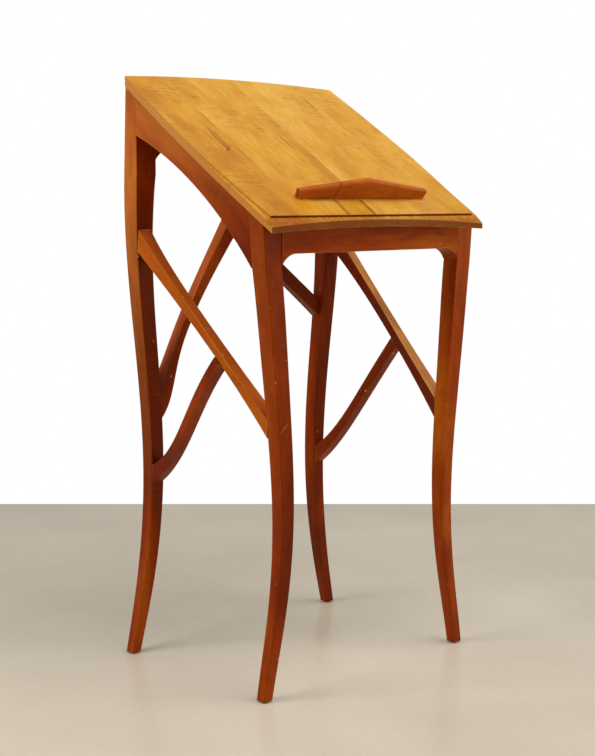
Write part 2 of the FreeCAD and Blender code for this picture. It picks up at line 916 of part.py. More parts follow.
def top_body(name):
    """The whole fielded top: plumb curved edges, raised field, falling front margin."""
    body = doc.addObject("PartDesign::Body", name)
    back, rise = on_slope(0, 0)
    slope = size("top_slope")
    sketch = new_sketch(body, name + "_outline", "XY_Plane")
    draw_outline(sketch, [
        (-size("front_half"), size("front_run"), 0, size("front_hollow")),
        (size("front_half"), size("front_run"), size("middle_half"), size("middle_run")),
        (size("back_half"), size("back_run"), 0, size("back_run") + size("back_bow")),
        (-size("back_half"), size("back_run"), -size("middle_half"), size("middle_run")),
    ])
    pad = add_pad(body, sketch, name + "_board", size("top_thick"))
    pad.UseCustomVector = True
    pad.Direction = FreeCAD.Vector(0, -sine(slope).value, -cosine(slope).value)
    bind(pad, "Direction.y", -sine(slope))
    bind(pad, "Direction.z", -cosine(slope))
    pad.AlongSketchNormal = True
    doc.recompute()
    sketch = new_sketch(body, name + "_margin", "XY_Plane")
    off = size("cope_spread")
    wide = size("middle_half") + off
    field = size("field_half")
    draw_outline(sketch, [
        (-wide, -off),
        (wide, -off),
        (wide, size("field_end_run")),
        (size("field_end_half"), size("field_end_run"),
         size("field_bow_half"), size("field_bow_run")),
        (field, size("field_run")),
        (-field, size("field_run"), -size("field_bow_half"), size("field_bow_run")),
        (-size("field_end_half"), size("field_end_run")),
        (-wide, size("field_end_run")),
    ])
    add_pocket(body, sketch, name + "_step", size("field_step"))
    sketch = new_sketch(body, name + "_fall", "YZ_Plane", (0, 0, -wide))
    step = size("field_step")
    fall = (size("field_run") + off) * sine(size("margin_fall")) / cosine(size("margin_fall"))
    draw_outline(sketch, [
        (size("field_run"), -step),
        (size("field_run"), step),
        (-off, step),
        (-off, -step - fall),
    ])
    add_pocket(body, sketch, name + "_front_fall", wide * 2, backward=True)
    place(body, "Placement", (0, back, rise), AXIS_X, slope)
    return body


def add_pocket(body, sketch, name, length, backward=False):
    pocket = body.newObject("PartDesign::Pocket", name)
    pocket.Profile = sketch
    pocket.Length = as_size(length).value
    bind(pocket, "Length", length)
    pocket.Reversed = backward
    doc.recompute()
    return pocket


def build_plank(node, low, high, tools):
    """One plank: the fielded top kept only between its two seams."""
    body = top_body(node + "_board")
    sketch = new_sketch(body, node + "_seams", "XY_Plane", (0, 0, size("field_step")))
    off = size("cope_spread")
    wide = size("middle_half") + off
    deep = size("back_run") + size("back_bow") + off
    if low is not None:
        draw_outline(sketch, box_corners(-wide, -off, low, deep))
    if high is not None:
        draw_outline(sketch, box_corners(high, -off, wide, deep))
    thick = size("top_thick") + size("field_step") * 2
    add_pocket(body, sketch, node + "_sawn", thick)
    return keep(cut_away(node, body, tools), node)


# ---------------------------------------------------------------- book stop

def stop_dowels():
    """Four dowels that stand in the top and hold the book stop."""
    dowels = []
    holes = []
    radius = size("dowel_radius")
    run = size("stop_run") + size("stop_thick") / 2
    for number, name in enumerate(("outer", "inner", "inner", "outer")):
        sign = -1 if number < 2 else 1
        x = size("stop_centre") + sign * size("stop_dowel_" + name)
        half = size("top_thick") / 2
        for label, ease in (("dowel", as_size(0)), ("hole", size("dowel_ease"))):
            back, rise = on_slope(run, -(half + ease * 5))
            item = rod("stop_%s_%d" % (label, number), (x, back, rise),
                       half * 2 + ease * 10, radius + ease, AXIS_X, size("top_slope"))
            (dowels if label == "dowel" else holes).append(item)
    keep(group("stop_dowels_group", dowels), "book_stop_dowels")
    return holes


def build_stop(holes):
    """The gabled ledge: a low peak in the middle and ends that lean outward."""
    body = doc.addObject("PartDesign::Body", "book_stop_form")
    back, rise = on_slope(size("stop_run") + size("stop_thick"), 0)
    sketch = new_sketch(body, "book_stop_face", "XZ_Plane")
    centre = size("stop_centre")
    half = size("stop_half")
    wide = half + size("stop_lean")
    end = size("stop_end")
    draw_outline(sketch, [
        (centre - half, 0),
        (centre + half, 0),
        (centre + wide, end),
        (centre, size("stop_peak")),
        (centre - wide, end),
    ])
    pad = add_pad(body, sketch, "book_stop_board", size("stop_thick"))
    doc.recompute()
    upper = []
    for number, edge in enumerate(pad.Shape.Edges, start=1):
        middle = edge.BoundBox.Center
        if edge.Length > half.value and middle.z > end.value:
            upper.append("Edge%d" % number)
    bevel = body.newObject("PartDesign::Chamfer", "book_stop_bevel")
    bevel.Base = (pad, upper)
    bevel.Size = size("stop_bevel").value
    bind(bevel, "Size", size("stop_bevel"))
    place(body, "Placement", (0, back, rise), AXIS_X, size("top_slope"))
    doc.recompute()
    return keep(cut_away("book_stop", body, holes), "book_stop")


# ---------------------------------------------------------------- glides

def build_glide(end, hand, side):
    """A domed glide with its nail, under one foot."""
    node = "glide_%s_%s" % (end, hand)
    body = doc.addObject("PartDesign::Body", node)
    sketch = new_sketch(body, node + "_profile", "XZ_Plane")
    high = size("glide_high")
    pin = size("glide_pin_radius")
    wide = size("glide_radius")
    flat = size("glide_flat")
    bulge = flat + (wide - flat) * 0.75
    draw_outline(sketch, [
        (0, 0),
        (flat, 0, bulge, high * 0.28),
        (wide, high - 0.3),
        (wide, high),
        (pin, high),
        (pin, high + size("glide_pin_long") - pin * 2),
        (0, high + size("glide_pin_long")),
    ])
    turn = body.newObject("PartDesign::Revolution", node + "_turned")
    turn.Profile = sketch
    turn.ReferenceAxis = (sketch, ["V_Axis"])
    turn.Angle = 360
    foot = end + "_leg_foot_"
    place(body, "Placement", (side * size(foot + "out"), behind(foot + "back"), 0))
    doc.recompute()
    return keep(body, node)


# ---------------------------------------------------------------- assembly

def build_side_frame(hand, side):
    """Brace and strut of one side; returns the holes that its legs share."""
    joint = "joint_%s_" % hand
    made = {}
    for key in ("brace_back", "brace_front", "strut_top", "strut_leg"):
        made[key] = joint_dowels(joint + key, "side", side)
    front = cope_form("front_leg", hand, side, "x")
    back = cope_form("back_leg", hand, side, "x")
    arris = size("brace_arris")
    member = "side_brace_" + hand
    brace = curved_member(member + "_form", stations_of(member, side), arris)
    glue = size("glue_line") * 2
    spare = (size("cope_spread"), glue)
    band = curved_member(member + "_band", stations_of(member, side), arris, spare=spare)
    holes = made["brace_back"][1] + made["brace_front"][1] + made["strut_top"][1]
    keep(cut_away(member, brace, [front, back] + holes), member)
    member = "side_strut_" + hand
    strut = curved_member(member + "_form", stations_of(member, side), arris)
    holes = made["strut_top"][1] + made["strut_leg"][1]
    keep(cut_away(member, strut, [band, back] + holes), member)
    dowels = [item for pair in made.values() for item in pair[0]]
    keep(group("dowels_%s_group" % hand, dowels), "brace_dowels_" + hand)
    return made["brace_front"][1], made["brace_back"][1] + made["strut_leg"][1]


def build_back_frame():
    """The long back brace and its strut; returns the holes its neighbours share."""
    made = {}
    for key in BACK_JOINTS:
        made[key] = joint_dowels("joint_back_" + key, "back")
    left = cope_form("back_leg", "left", -1, "y")
    right = cope_form("back_leg", "right", 1, "y")
    arris = size("brace_arris")
    glue = size("glue_line") * 2
    brace = curved_member("back_brace_form", stations_of("back_brace"), arris, across=True)
    band = curved_member("back_brace_band", stations_of("back_brace"), arris, across=True,
                         spare=(glue, size("cope_spread")))
    wide = size("head_out") * 2
    near = behind("back_rail_face") - size("cut_near")
    point = (-(wide / 2), near, size("back_rail_low"))
    lengths = (wide, size("cut_deep"), size("cut_tall"))
    over = block("over_the_back_brace", point, lengths)
    low = made["brace_leg_low"][1] + made["brace_leg_high"][1]
    top = made["brace_rail"][1]
    mid = made["strut_top"][1]
    keep(cut_away("back_brace", brace, [left, over] + low + top + mid), "back_brace")
    strut = curved_member("back_strut_form", stations_of("back_strut"), arris, across=True)
    end = made["strut_leg"][1]
    keep(cut_away("back_strut", strut, [right, band] + end + mid), "back_strut")
    dowels = [item for pair in made.values() for item in pair[0]]
    keep(group("dowels_back_group", dowels), "brace_dowels_back")
    return low, end, top


def build_stand():
    """All the pieces, from the frame up."""
    slope = above_slope()
    back_holes = dict(zip(("left", "right", "rail"), build_back_frame()))
    for hand, side in (("left", -1), ("right", 1)):
        front_holes, rear_holes = build_side_frame(hand, side)
        form = leg_form("front_leg", hand, side)
        build_leg("front", hand, side, form, slope, front_holes)
        form = leg_form("back_leg", hand, side)
        build_leg("back", hand, side, form, slope, rear_holes + back_holes[hand])
        build_side_rail(hand, side, slope, [])
        for end in ("front", "back"):
            build_glide(end, hand, side)
    build_cross_rail("front", slope, [])
    build_cross_rail("back", slope, back_holes["rail"])
    pilots = build_buttons()
    stops = stop_dowels()
    seam = size("plank_seam")
    build_plank("top_plank_outer_left", None, -seam, pilots[-1])
    build_plank("top_plank_inner_left", -seam, as_size(0), stops[:2])
    build_plank("top_plank_inner_right", as_size(0), seam, stops[2:])
    build_plank("top_plank_outer_right", seam, None, pilots[1])
    build_stop(stops)


def write_pieces():
    """Check every object, then write each finished piece."""
    doc.recompute()
    for item in doc.Objects:
        if "Invalid" in item.State or "Error" in item.State:
            raise RuntimeError("%s is not sound: %s" % (item.Name, item.State))
    os.makedirs("parts", exist_ok=True)
    for item in pieces:
        if item.Shape.isNull() or not item.Shape.isValid() or not item.Shape.Solids:
            raise RuntimeError("%s has no sound shape" % item.Label)
        item.Shape.exportStep("parts/%s.step" % item.Label)


build_stand()
write_pieces()
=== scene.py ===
"""Dresses the atlas stand: a sloping top of four planks on a sabre-legged frame.

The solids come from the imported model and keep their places. This script gives
each piece its own cut of wood or metal, lays the floor, and sets the lamps and
the camera. All lengths are in metres, with +Z up and the reader at -Y.
"""

import logging
import math
from dataclasses import dataclass, replace
from enum import Enum

import bpy
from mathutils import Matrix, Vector


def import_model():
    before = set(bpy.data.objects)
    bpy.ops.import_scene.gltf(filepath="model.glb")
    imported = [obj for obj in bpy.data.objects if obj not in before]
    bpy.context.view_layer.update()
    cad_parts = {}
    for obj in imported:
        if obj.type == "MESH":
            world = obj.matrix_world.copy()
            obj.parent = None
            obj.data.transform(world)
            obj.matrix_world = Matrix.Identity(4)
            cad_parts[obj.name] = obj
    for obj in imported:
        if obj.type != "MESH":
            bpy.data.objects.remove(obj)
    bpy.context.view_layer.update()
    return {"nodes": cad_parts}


LOG = logging.getLogger("atlas_stand")

Socket = bpy.types.NodeSocket
Nodes = dict[str, bpy.types.Object]
Triple = tuple[float, float, float]
Number = Socket | float
Arrow = Socket | Triple

LEFT = (-1.0, 0.0, 0.0)
RIGHT = (1.0, 0.0, 0.0)
FRONT = (0.0, -1.0, 0.0)
BACK = (0.0, 1.0, 0.0)
ABOVE = (0.0, 0.0, 1.0)
WHITE = (1.0, 1.0, 1.0, 1.0)


class Grain(Enum):
    """The way the long fibres of a piece run, as a direction in the stand."""

    UP = (0.0, 0.0, 1.0)
    ACROSS = (1.0, 0.0, 0.0)
    SLOPE = (0.0, 0.845, 0.534)
    SIDE_BRACE = (0.0, 0.719, 0.695)
    SIDE_STRUT = (0.0, 0.697, -0.717)
    BACK_BRACE = (0.489, 0.0, 0.872)
    BACK_STRUT = (-0.790, 0.0, 0.613)

    def turn(self) -> Triple:
        """Gives the turn, in radians, that brings the fibres upright."""
        return tuple(Vector(self.value).rotation_difference(Vector(ABOVE)).to_euler())


@dataclass(frozen=True)
class Swatch:
    """A colour, with each part from 0 to 255."""

    red: int
    green: int
    blue: int

    def linear(self) -> tuple[float, float, float, float]:
        """Gives the colour as the shaders take it, by the usual sRGB curve."""
        parts = []
        for part in (self.red, self.green, self.blue):
            share = part / 255.0
            if share <= 0.04045:
                parts.append(share / 12.92)
            else:
                parts.append(((share + 0.055) / 1.055) ** 2.4)
        return (parts[0], parts[1], parts[2], 1.0)


Colour = Socket | Swatch


@dataclass(frozen=True)
class Noise:
    """Soft noise, and the range of it over which a thing comes to show.

    Attributes:
        scale: How many patches it has to a metre, along each axis.
        detail: How many finer layers it has.
        rough: How strong those layers are.
        twist: How far it is bent by itself.
        low: The value at which a thing starts to show.
        high: The value from which it shows in full.
    """

    scale: Triple
    detail: float = 2.0
    rough: float = 0.5
    twist: float = 0.0
    low: float = 0.0
    high: float = 1.0

    def stroked(self, along: float) -> "Noise":
        """Gives the same noise with its own scale along the fibres."""
        return replace(self, scale=(self.scale[0], self.scale[1], along))


class Bench:
    """Lays out the nodes of one material and joins them up.

    The mix node has sockets of every kind, and MIX_INPUTS and MIX_RESULT are the
    ones for colours. FLAT is how well normals agree away from an arris.
    """

    ARRIS_SAMPLES = 6
    FLAT = 0.99
    MIX_INPUTS = (0, 6, 7)
    MIX_RESULT = 2

    def __init__(self, name: str) -> None:
        """Starts a material with one shader.

        Args:
            name: What the material is called.
        """
        self.material = bpy.data.materials.new(name)
        self.material.use_nodes = True
        self.tree = self.material.node_tree
        self.tree.nodes.clear()
        self.end = self.add("ShaderNodeOutputMaterial")
        self.shader = self.add("ShaderNodeBsdfPrincipled")
        self.join(self.shader.outputs["BSDF"], self.end.inputs["Surface"])
        self.place = self.add("ShaderNodeTexCoord").outputs["Object"]

    def add(self, kind: str) -> bpy.types.Node:
        """Adds one node of a kind."""
        return self.tree.nodes.new(kind)

    def join(self, source: Socket, target: Socket) -> None:
        """Joins an output to an input."""
        self.tree.links.new(source, target)

    def feed(self, target: Socket, value: Socket | float | tuple) -> None:
        """Joins or sets an input.

        Args:
            target: The input.
            value: Another node's output, or a plain number or colour.
        """
        if isinstance(value, Socket):
            self.join(value, target)
        else:
            target.default_value = value

    def sum(
        self, step: str, first: Number, second: Number = 0.0, clamp: bool = False
    ) -> Socket:
        """Works out one number from two.

        Args:
            step: The sum's name, such as ADD or FRACT.
            first, second: The numbers or outputs.
            clamp: Whether the answer is held between 0 and 1.

        Returns:
            The answer.
        """
        node = self.add("ShaderNodeMath")
        node.operation = step
        node.use_clamp = clamp
        self.feed(node.inputs[0], first)
        self.feed(node.inputs[1], second)
        return node.outputs[0]

    def times(self, first: Number, second: Number, clamp: bool = False) -> Socket:
        """Multiplies two numbers, held between 0 and 1 if asked."""
        return self.sum("MULTIPLY", first, second, clamp)

    def arrow(
        self, step: str, first: Arrow, second: Arrow = (0.0, 0.0, 0.0)
    ) -> bpy.types.Node:
        """Works out one vector sum.

        Args:
            step: The sum's name, such as SUBTRACT or SCALE.
            first, second: The vectors or outputs.

        Returns:
            The node, whose outputs are the vector and the number.
        """
        node = self.add("ShaderNodeVectorMath")
        node.operation = step
        self.feed(node.inputs[0], first)
        self.feed(node.inputs[1], second)
        return node

    def along(self, first: Arrow, second: Arrow) -> Socket:
        """Finds how far one vector reaches along another."""
        return self.arrow("DOT_PRODUCT", first, second).outputs["Value"]

    def length(self, vector: Socket) -> Socket:
        """Finds how long a vector is."""
        return self.arrow("LENGTH", vector).outputs["Value"]

    def facing(self) -> Socket:
        """Gives the way the surface faces."""
        return self.add("ShaderNodeNewGeometry").outputs["Normal"]

    def turned(self, turn: Triple, shift: Triple) -> Socket:
        """Gives the place in the stand, turned to stand along a piece's fibres.

        Args:
            turn: The turn about X, Y and Z, in radians.
            shift: What is added after the turn.

        Returns:
            The turned place.
        """
        node = self.add("ShaderNodeMapping")
        node.inputs["Rotation"].default_value = turn
        node.inputs["Location"].default_value = shift
        self.join(self.place, node.inputs["Vector"])
        return node.outputs["Vector"]

    def stretched(self, place: Socket, scale: Triple) -> Socket:
        """Gives a place scaled along each of its axes."""
        return self.arrow("MULTIPLY", place, scale).outputs[0]

    def cloud(self, place: Socket, noise: Noise) -> Socket:
        """Adds soft noise.

        Args:
            place: Where the noise is read.
            noise: How fine and how rough it is.

        Returns:
            A number about 0.5.
        """
        node = self.add("ShaderNodeTexNoise")
        node.inputs["Scale"].default_value = 1.0
        node.inputs["Detail"].default_value = noise.detail
        node.inputs["Roughness"].default_value = noise.rough
        node.inputs["Distortion"].default_value = noise.twist
        self.join(self.stretched(place, noise.scale), node.inputs["Vector"])
        return node.outputs["Fac"]

    def band(
        self, value: Socket, low: float, high: float, start: float = 0.0, end: float = 1.0
    ) -> Socket:
        """Turns a range of one number smoothly into another.

        Args:
            value: The number.
            low, high: The range it has.
            start, end: What these turn into.

        Returns:
            The new number, held within its range.
        """
        node = self.add("ShaderNodeMapRange")
        node.interpolation_type = "SMOOTHSTEP"
        self.join(value, node.inputs["Value"])
        node.inputs["From Min"].default_value = low
        node.inputs["From Max"].default_value = high
        node.inputs["To Min"].default_value = start
        node.inputs["To Max"].default_value = end
        return node.outputs["Result"]

    def patches(
        self, place: Socket, noise: Noise, start: float = 0.0, end: float = 1.0
    ) -> Socket:
        """Adds soft patches, where the noise is high.

        Args:
            place: Where the noise is read.
            noise: The noise, with the range that counts.
            start, end: The number outside the patches and within them.

        Returns:
            The number.
        """
        return self.band(self.cloud(place, noise), noise.low, noise.high, start, end)

    def ramp(self, value: Socket, stops: list[tuple[float, Swatch]]) -> Socket:
        """Turns a number into a colour.

        Args:
            value: The number, from 0 to 1.
            stops: Where each colour stands.

        Returns:
            The colour.
        """
        node = self.add("ShaderNodeValToRGB")
        steps = node.color_ramp.elements
        while len(steps) < len(stops):
            steps.new(0.5)
        for step, (spot, swatch) in zip(steps, stops):
            step.position = spot
            step.color = swatch.linear()
        self.join(value, node.inputs["Fac"])
        return node.outputs["Color"]

    def tint(self, share: Number, under: Colour, over: Colour) -> Socket:
        """Lays one colour over another.

        Args:
            share: How much of it shows, as a number or an output.
            under: The colour below.
            over: The colour above.

        Returns:
            The mixed colour.
        """
        node = self.add("ShaderNodeMix")
        node.data_type = "RGBA"
        factor, below, above = (node.inputs[index] for index in self.MIX_INPUTS)
        self.feed(factor, share)
        self.feed(below, under.linear() if isinstance(under, Swatch) else under)
        self.feed(above, over.linear() if isinstance(over, Swatch) else over)
        return node.outputs[self.MIX_RESULT]

    def arris(self, radius: float, sharp: float = 0.80) -> Socket:
        """Finds the arrises of a piece.

        Args:
            radius: How far from the arris it is felt.
            sharp: How far the softened normal has to agree for a full arris.

        Returns:
            A number that rises towards an arris.
        """
        soft = self.add("ShaderNodeBevel")
        soft.samples = self.ARRIS_SAMPLES
        soft.inputs["Radius"].default_value = radius
        same = self.along(soft.outputs["Normal"], self.facing())
        return self.band(same, self.FLAT, sharp)

    def feel(self, height: Socket, strength: float, deep: float) -> None:
        """Gives the surface its fine relief.

        Args:
            height: The height of the surface.
            strength: How strongly it is felt.
            deep: How deep it is, in metres.
        """
        bump = self.add("ShaderNodeBump")
        bump.inputs["Strength"].default_value = strength
        bump.inputs["Distance"].default_value = deep
        self.join(height, bump.inputs["Height"])
        self.join(bump.outputs["Normal"], self.shader.inputs["Normal"])


@dataclass(frozen=True)
class Mark:
    """A streak or scratch in one face, from one point of it to another.

    Attributes:
        start, end: Its ends: how far right of the middle, and along the fibres.
        width: Half its width.
        strength: How much of it shows.
        colour: Its colour.
    """

    start: tuple[float, float]
    end: tuple[float, float]
    width: float
    strength: float = 0.8
    colour: Swatch = Swatch(24, 12, 4)

    FAINT = 1.35
    FULL = 0.45

    def lay(self, bench: Bench, place: Socket, wander: Socket) -> Socket:
        """Finds how much of the mark shows.

        Args:
            bench: The material's bench.
            place: The place on the board: right, out of it, and along the fibres.
            wander: Noise that makes the line uneven.

        Returns:
            A number from 0 to the mark's strength.
        """
        span = Vector((self.end[0] - self.start[0], 0.0, self.end[1] - self.start[1]))
        start = (self.start[0], 0.0, self.start[1])
        off = bench.arrow("SUBTRACT", place, start).outputs[0]
        share = bench.along(off, tuple(span / span.length_squared))
        reach = bench.arrow("SCALE", tuple(span))
        bench.join(bench.sum("ADD", share, 0.0, clamp=True), reach.inputs["Scale"])
        gap = bench.arrow("SUBTRACT", off, reach.outputs[0]).outputs[0]
        far = bench.length(bench.stretched(gap, (1.0, 0.0, 1.0)))
        uneven = bench.sum("ADD", far, bench.times(wander, self.width))
        faint, full = self.width * self.FAINT, self.width * self.FULL
        return bench.band(uneven, faint, full, 0.0, self.strength)


@dataclass(frozen=True)
class Joined:
    """A plane beyond which a piece meets its neighbour, so nothing rubs it.

    Attributes:
        way: The direction the plane faces.
        at: How far along that direction it lies.
    """

    way: Triple
    at: float

    CLEAR = 0.004
    SHUT = 0.001

    def bare(self, bench: Bench) -> Socket:
        """Gives a number that is 1 short of the plane and falls to 0 at it."""
        reach = bench.along(bench.place, self.way)
        return bench.band(reach, self.at - self.SHUT, self.at - self.CLEAR)


@dataclass(frozen=True)
class Cut:
    """How one piece was cut from its board.

    Attributes:
        grain: The way its fibres run.
        shift: Where in the tree it was, as a shift after the turn.
        shade: How much darker, below 0, or lighter, above 0, the piece is.
        curl: How strongly the curl shows in it.
        lit_and_sunned: How much painted light, also standing for sun-faded stain, lies on
            the upper parts of its outer face.
        lit_side: The way that outer face looks.
        lit_from: The height from which that painted light starts.
        up_light_and_bleach: How much painted light, also standing for faded stain, lies
            on the faces that look up.
        rub_and_highlight: How much its arrises are laid pale, as wear and painted
            highlight.
        joined: Where it meets its neighbours.
        marks: The streaks and scratches on it.
        zero: The shift that brings the marks' own zero to the turned place.
    """

    grain: Grain
    shift: Triple = (0.0, 0.0, 0.0)
    shade: float = 0.0
    curl: float = 1.0
    lit_and_sunned: float = 1.0
    lit_side: Triple = LEFT
    lit_from: float = 0.20
    up_light_and_bleach: float = 1.0
    rub_and_highlight: float = 1.0
    joined: tuple[Joined, ...] = ()
    marks: tuple[Mark, ...] = ()
    zero: Triple = (0.0, 0.0, 0.0)


NOISE_MIDDLE = 0.50
BROAD = Noise((8.0, 8.0, 2.0), 4.0, 0.55, 0.3)
BROAD_MIDDLE = 0.51

RING_WANDER = Noise((14.0, 14.0, 1.6))
RING_SWAY = 0.022
RING_FAINT = Noise((30.0, 30.0, 5.0), 1.0, low=0.35, high=0.70)
LATE_WOOD = (0.45, 0.97)

AMBER_FLECK = Noise((13.0, 13.0, 6.0), 5.0, 0.65, low=0.52, high=0.66)
AMBER_SHARE = 1.6
AMBER_MOST = 0.8
CURL_WAVE = Noise((19.0, 19.0, 1.0), 1.5, 0.5, 0.3)
CURL_PATCH = Noise((10.0, 10.0, 7.0), low=0.46, high=0.60)
CURL_DARK = (0.54, 0.66)
CURL_LIGHT = (0.48, 0.36)
CURL_GLOW = 0.5

MOTTLE = Noise((190.0, 190.0, 60.0), 3.0, 0.65, low=0.50, high=0.74)
FIBRE = Noise((1100.0, 1100.0, 22.0), 2.0, 0.6, low=0.45, high=0.75)
FIBRE_SHOW = 0.35
FIBRE_RELIEF = 0.4
PORE = Noise((620.0, 620.0, 60.0), 1.0, low=0.64, high=0.74)
THIN_SCRATCH = Noise((240.0, 240.0, 11.0), 1.0, low=0.66, high=0.72)
SCRATCHED = Noise((21.0, 21.0, 8.0), 1.0, low=0.48, high=0.60)

END_FACE = (0.08, 0.85)
SIDE_FACE = (0.45, 0.85)
SIDE_SHOW = 0.8

LIT_FADE_PATCH = Noise((24.0, 24.0, 7.0), 3.0, low=0.30, high=0.70)
LIT_FADE_LEAST = 0.45
LIT_FULL_HEIGHT = 1.22
LIT_UP_RANGE = (0.20, 0.58)
LIT_OUT_RANGE = (0.25, 0.75)

RUB_AND_HIGHLIGHT_PATCH = Noise((45.0, 45.0, 14.0), 3.0, low=0.36, high=0.66)
CHIP_SCALE = (70.0, 70.0, 52.0)
CHIP_RAGGED = 420.0
CHIP_PUSH = (0.5, 0.5, 0.5)
CHIP_RARE = (0.985, 0.990)
CHIP_MORE = 0.10
CHIP_LEAST = 0.04
CHIP_VARY = 0.11
CHIP_SHOW = 1.6
CHIP_DEEP = 2.5

MARK_WANDER = Noise((160.0, 160.0, 60.0))
MARK_DEPTH = (0.010, 0.007)

SMEAR = Noise((28.0, 28.0, 16.0), 3.0, 0.6, low=0.30, high=0.72)
SMEAR_SPAN = (-0.07, 0.09)
RUBBED_MATT = 0.25
COAT_ROUGH = 0.16
WOOD_FEEL = (0.35, 0.00012)


@dataclass(frozen=True)
class WoodFinish:
    """A lacquered or plain wood, with its rings, fibres, curl, wear and chips, and
    painted light and shade on its faces and arrises.

    Attributes:
        name: What it is called.
        deep, body, pale: Its broad colours, from dark to light.
        line: The colour of rings, pores and end grain.
        worn: The colour of a rubbed arris or a chip.
        sheen: The colour of its shine.
        lit_and_faded: The paler colour of its painted light on the faces that look up and
            the high outer faces, which also stands for faded stain.
            up_light_and_fade, high_light_and_fade: How much of that painted light and
                fading the upper and the high outer faces get.
        spread: How soft the broad colours are; less is stronger.
        stroke: How many broad patches there are to a metre of fibre.
        ring: How wide a year's ring is.
        curl_pitch: How wide one wave of the curl is.
        ring_show, curl_show, pore_show: How much rings, curl and pores show.
        speck, scratch: How much the mottle and the fine scratches show.
        arris_reach: How far from an arris its wear, painted highlight and painted shade
            reach.
        arris_sharp: How well the softened normal agrees at a full arris.
        arris_shade, wear_and_highlight, chips: How much painted shade darkens its
            arrises, how far they are laid pale as wear and painted highlight, and how
            chipped the piece is.
        gloss: How matt the lacquer is; more is duller.
        shine, coat: How strongly it shines, and how much clear coat it has.
        ends, end_show: The end grain's colour, and how much it shows.
        sides: The colour of the left and right faces, where they differ.
    """

    name: str
    deep: Swatch
    body: Swatch
    pale: Swatch
    line: Swatch
    worn: Swatch
    sheen: Swatch = Swatch(255, 176, 96)
    lit_and_faded: Swatch = Swatch(190, 112, 40)
    up_light_and_fade: float = 0.0
    high_light_and_fade: float = 0.0
    spread: float = 0.21
    stroke: float = 2.0
    ring: float = 0.0035
    ring_show: float = 0.35
    curl_show: float = 0.2
    curl_pitch: float = 0.009
    speck: float = 0.25
    scratch: float = 0.35
    pore_show: float = 0.3
    arris_reach: float = 0.0022
    arris_sharp: float = 0.80
    arris_shade: float = 0.0
    wear_and_highlight: float = 0.5
    chips: float = 0.5
    gloss: float = 0.40
    shine: float = 0.30
    coat: float = 0.03
    ends: Swatch | None = None
    end_show: float = 0.55
    sides: Swatch | None = None

    def make(self, piece: str, cut: Cut) -> bpy.types.Material:
        """Makes the material of one piece from the way it was cut."""
        return WoodPiece(self, piece, cut).lay()


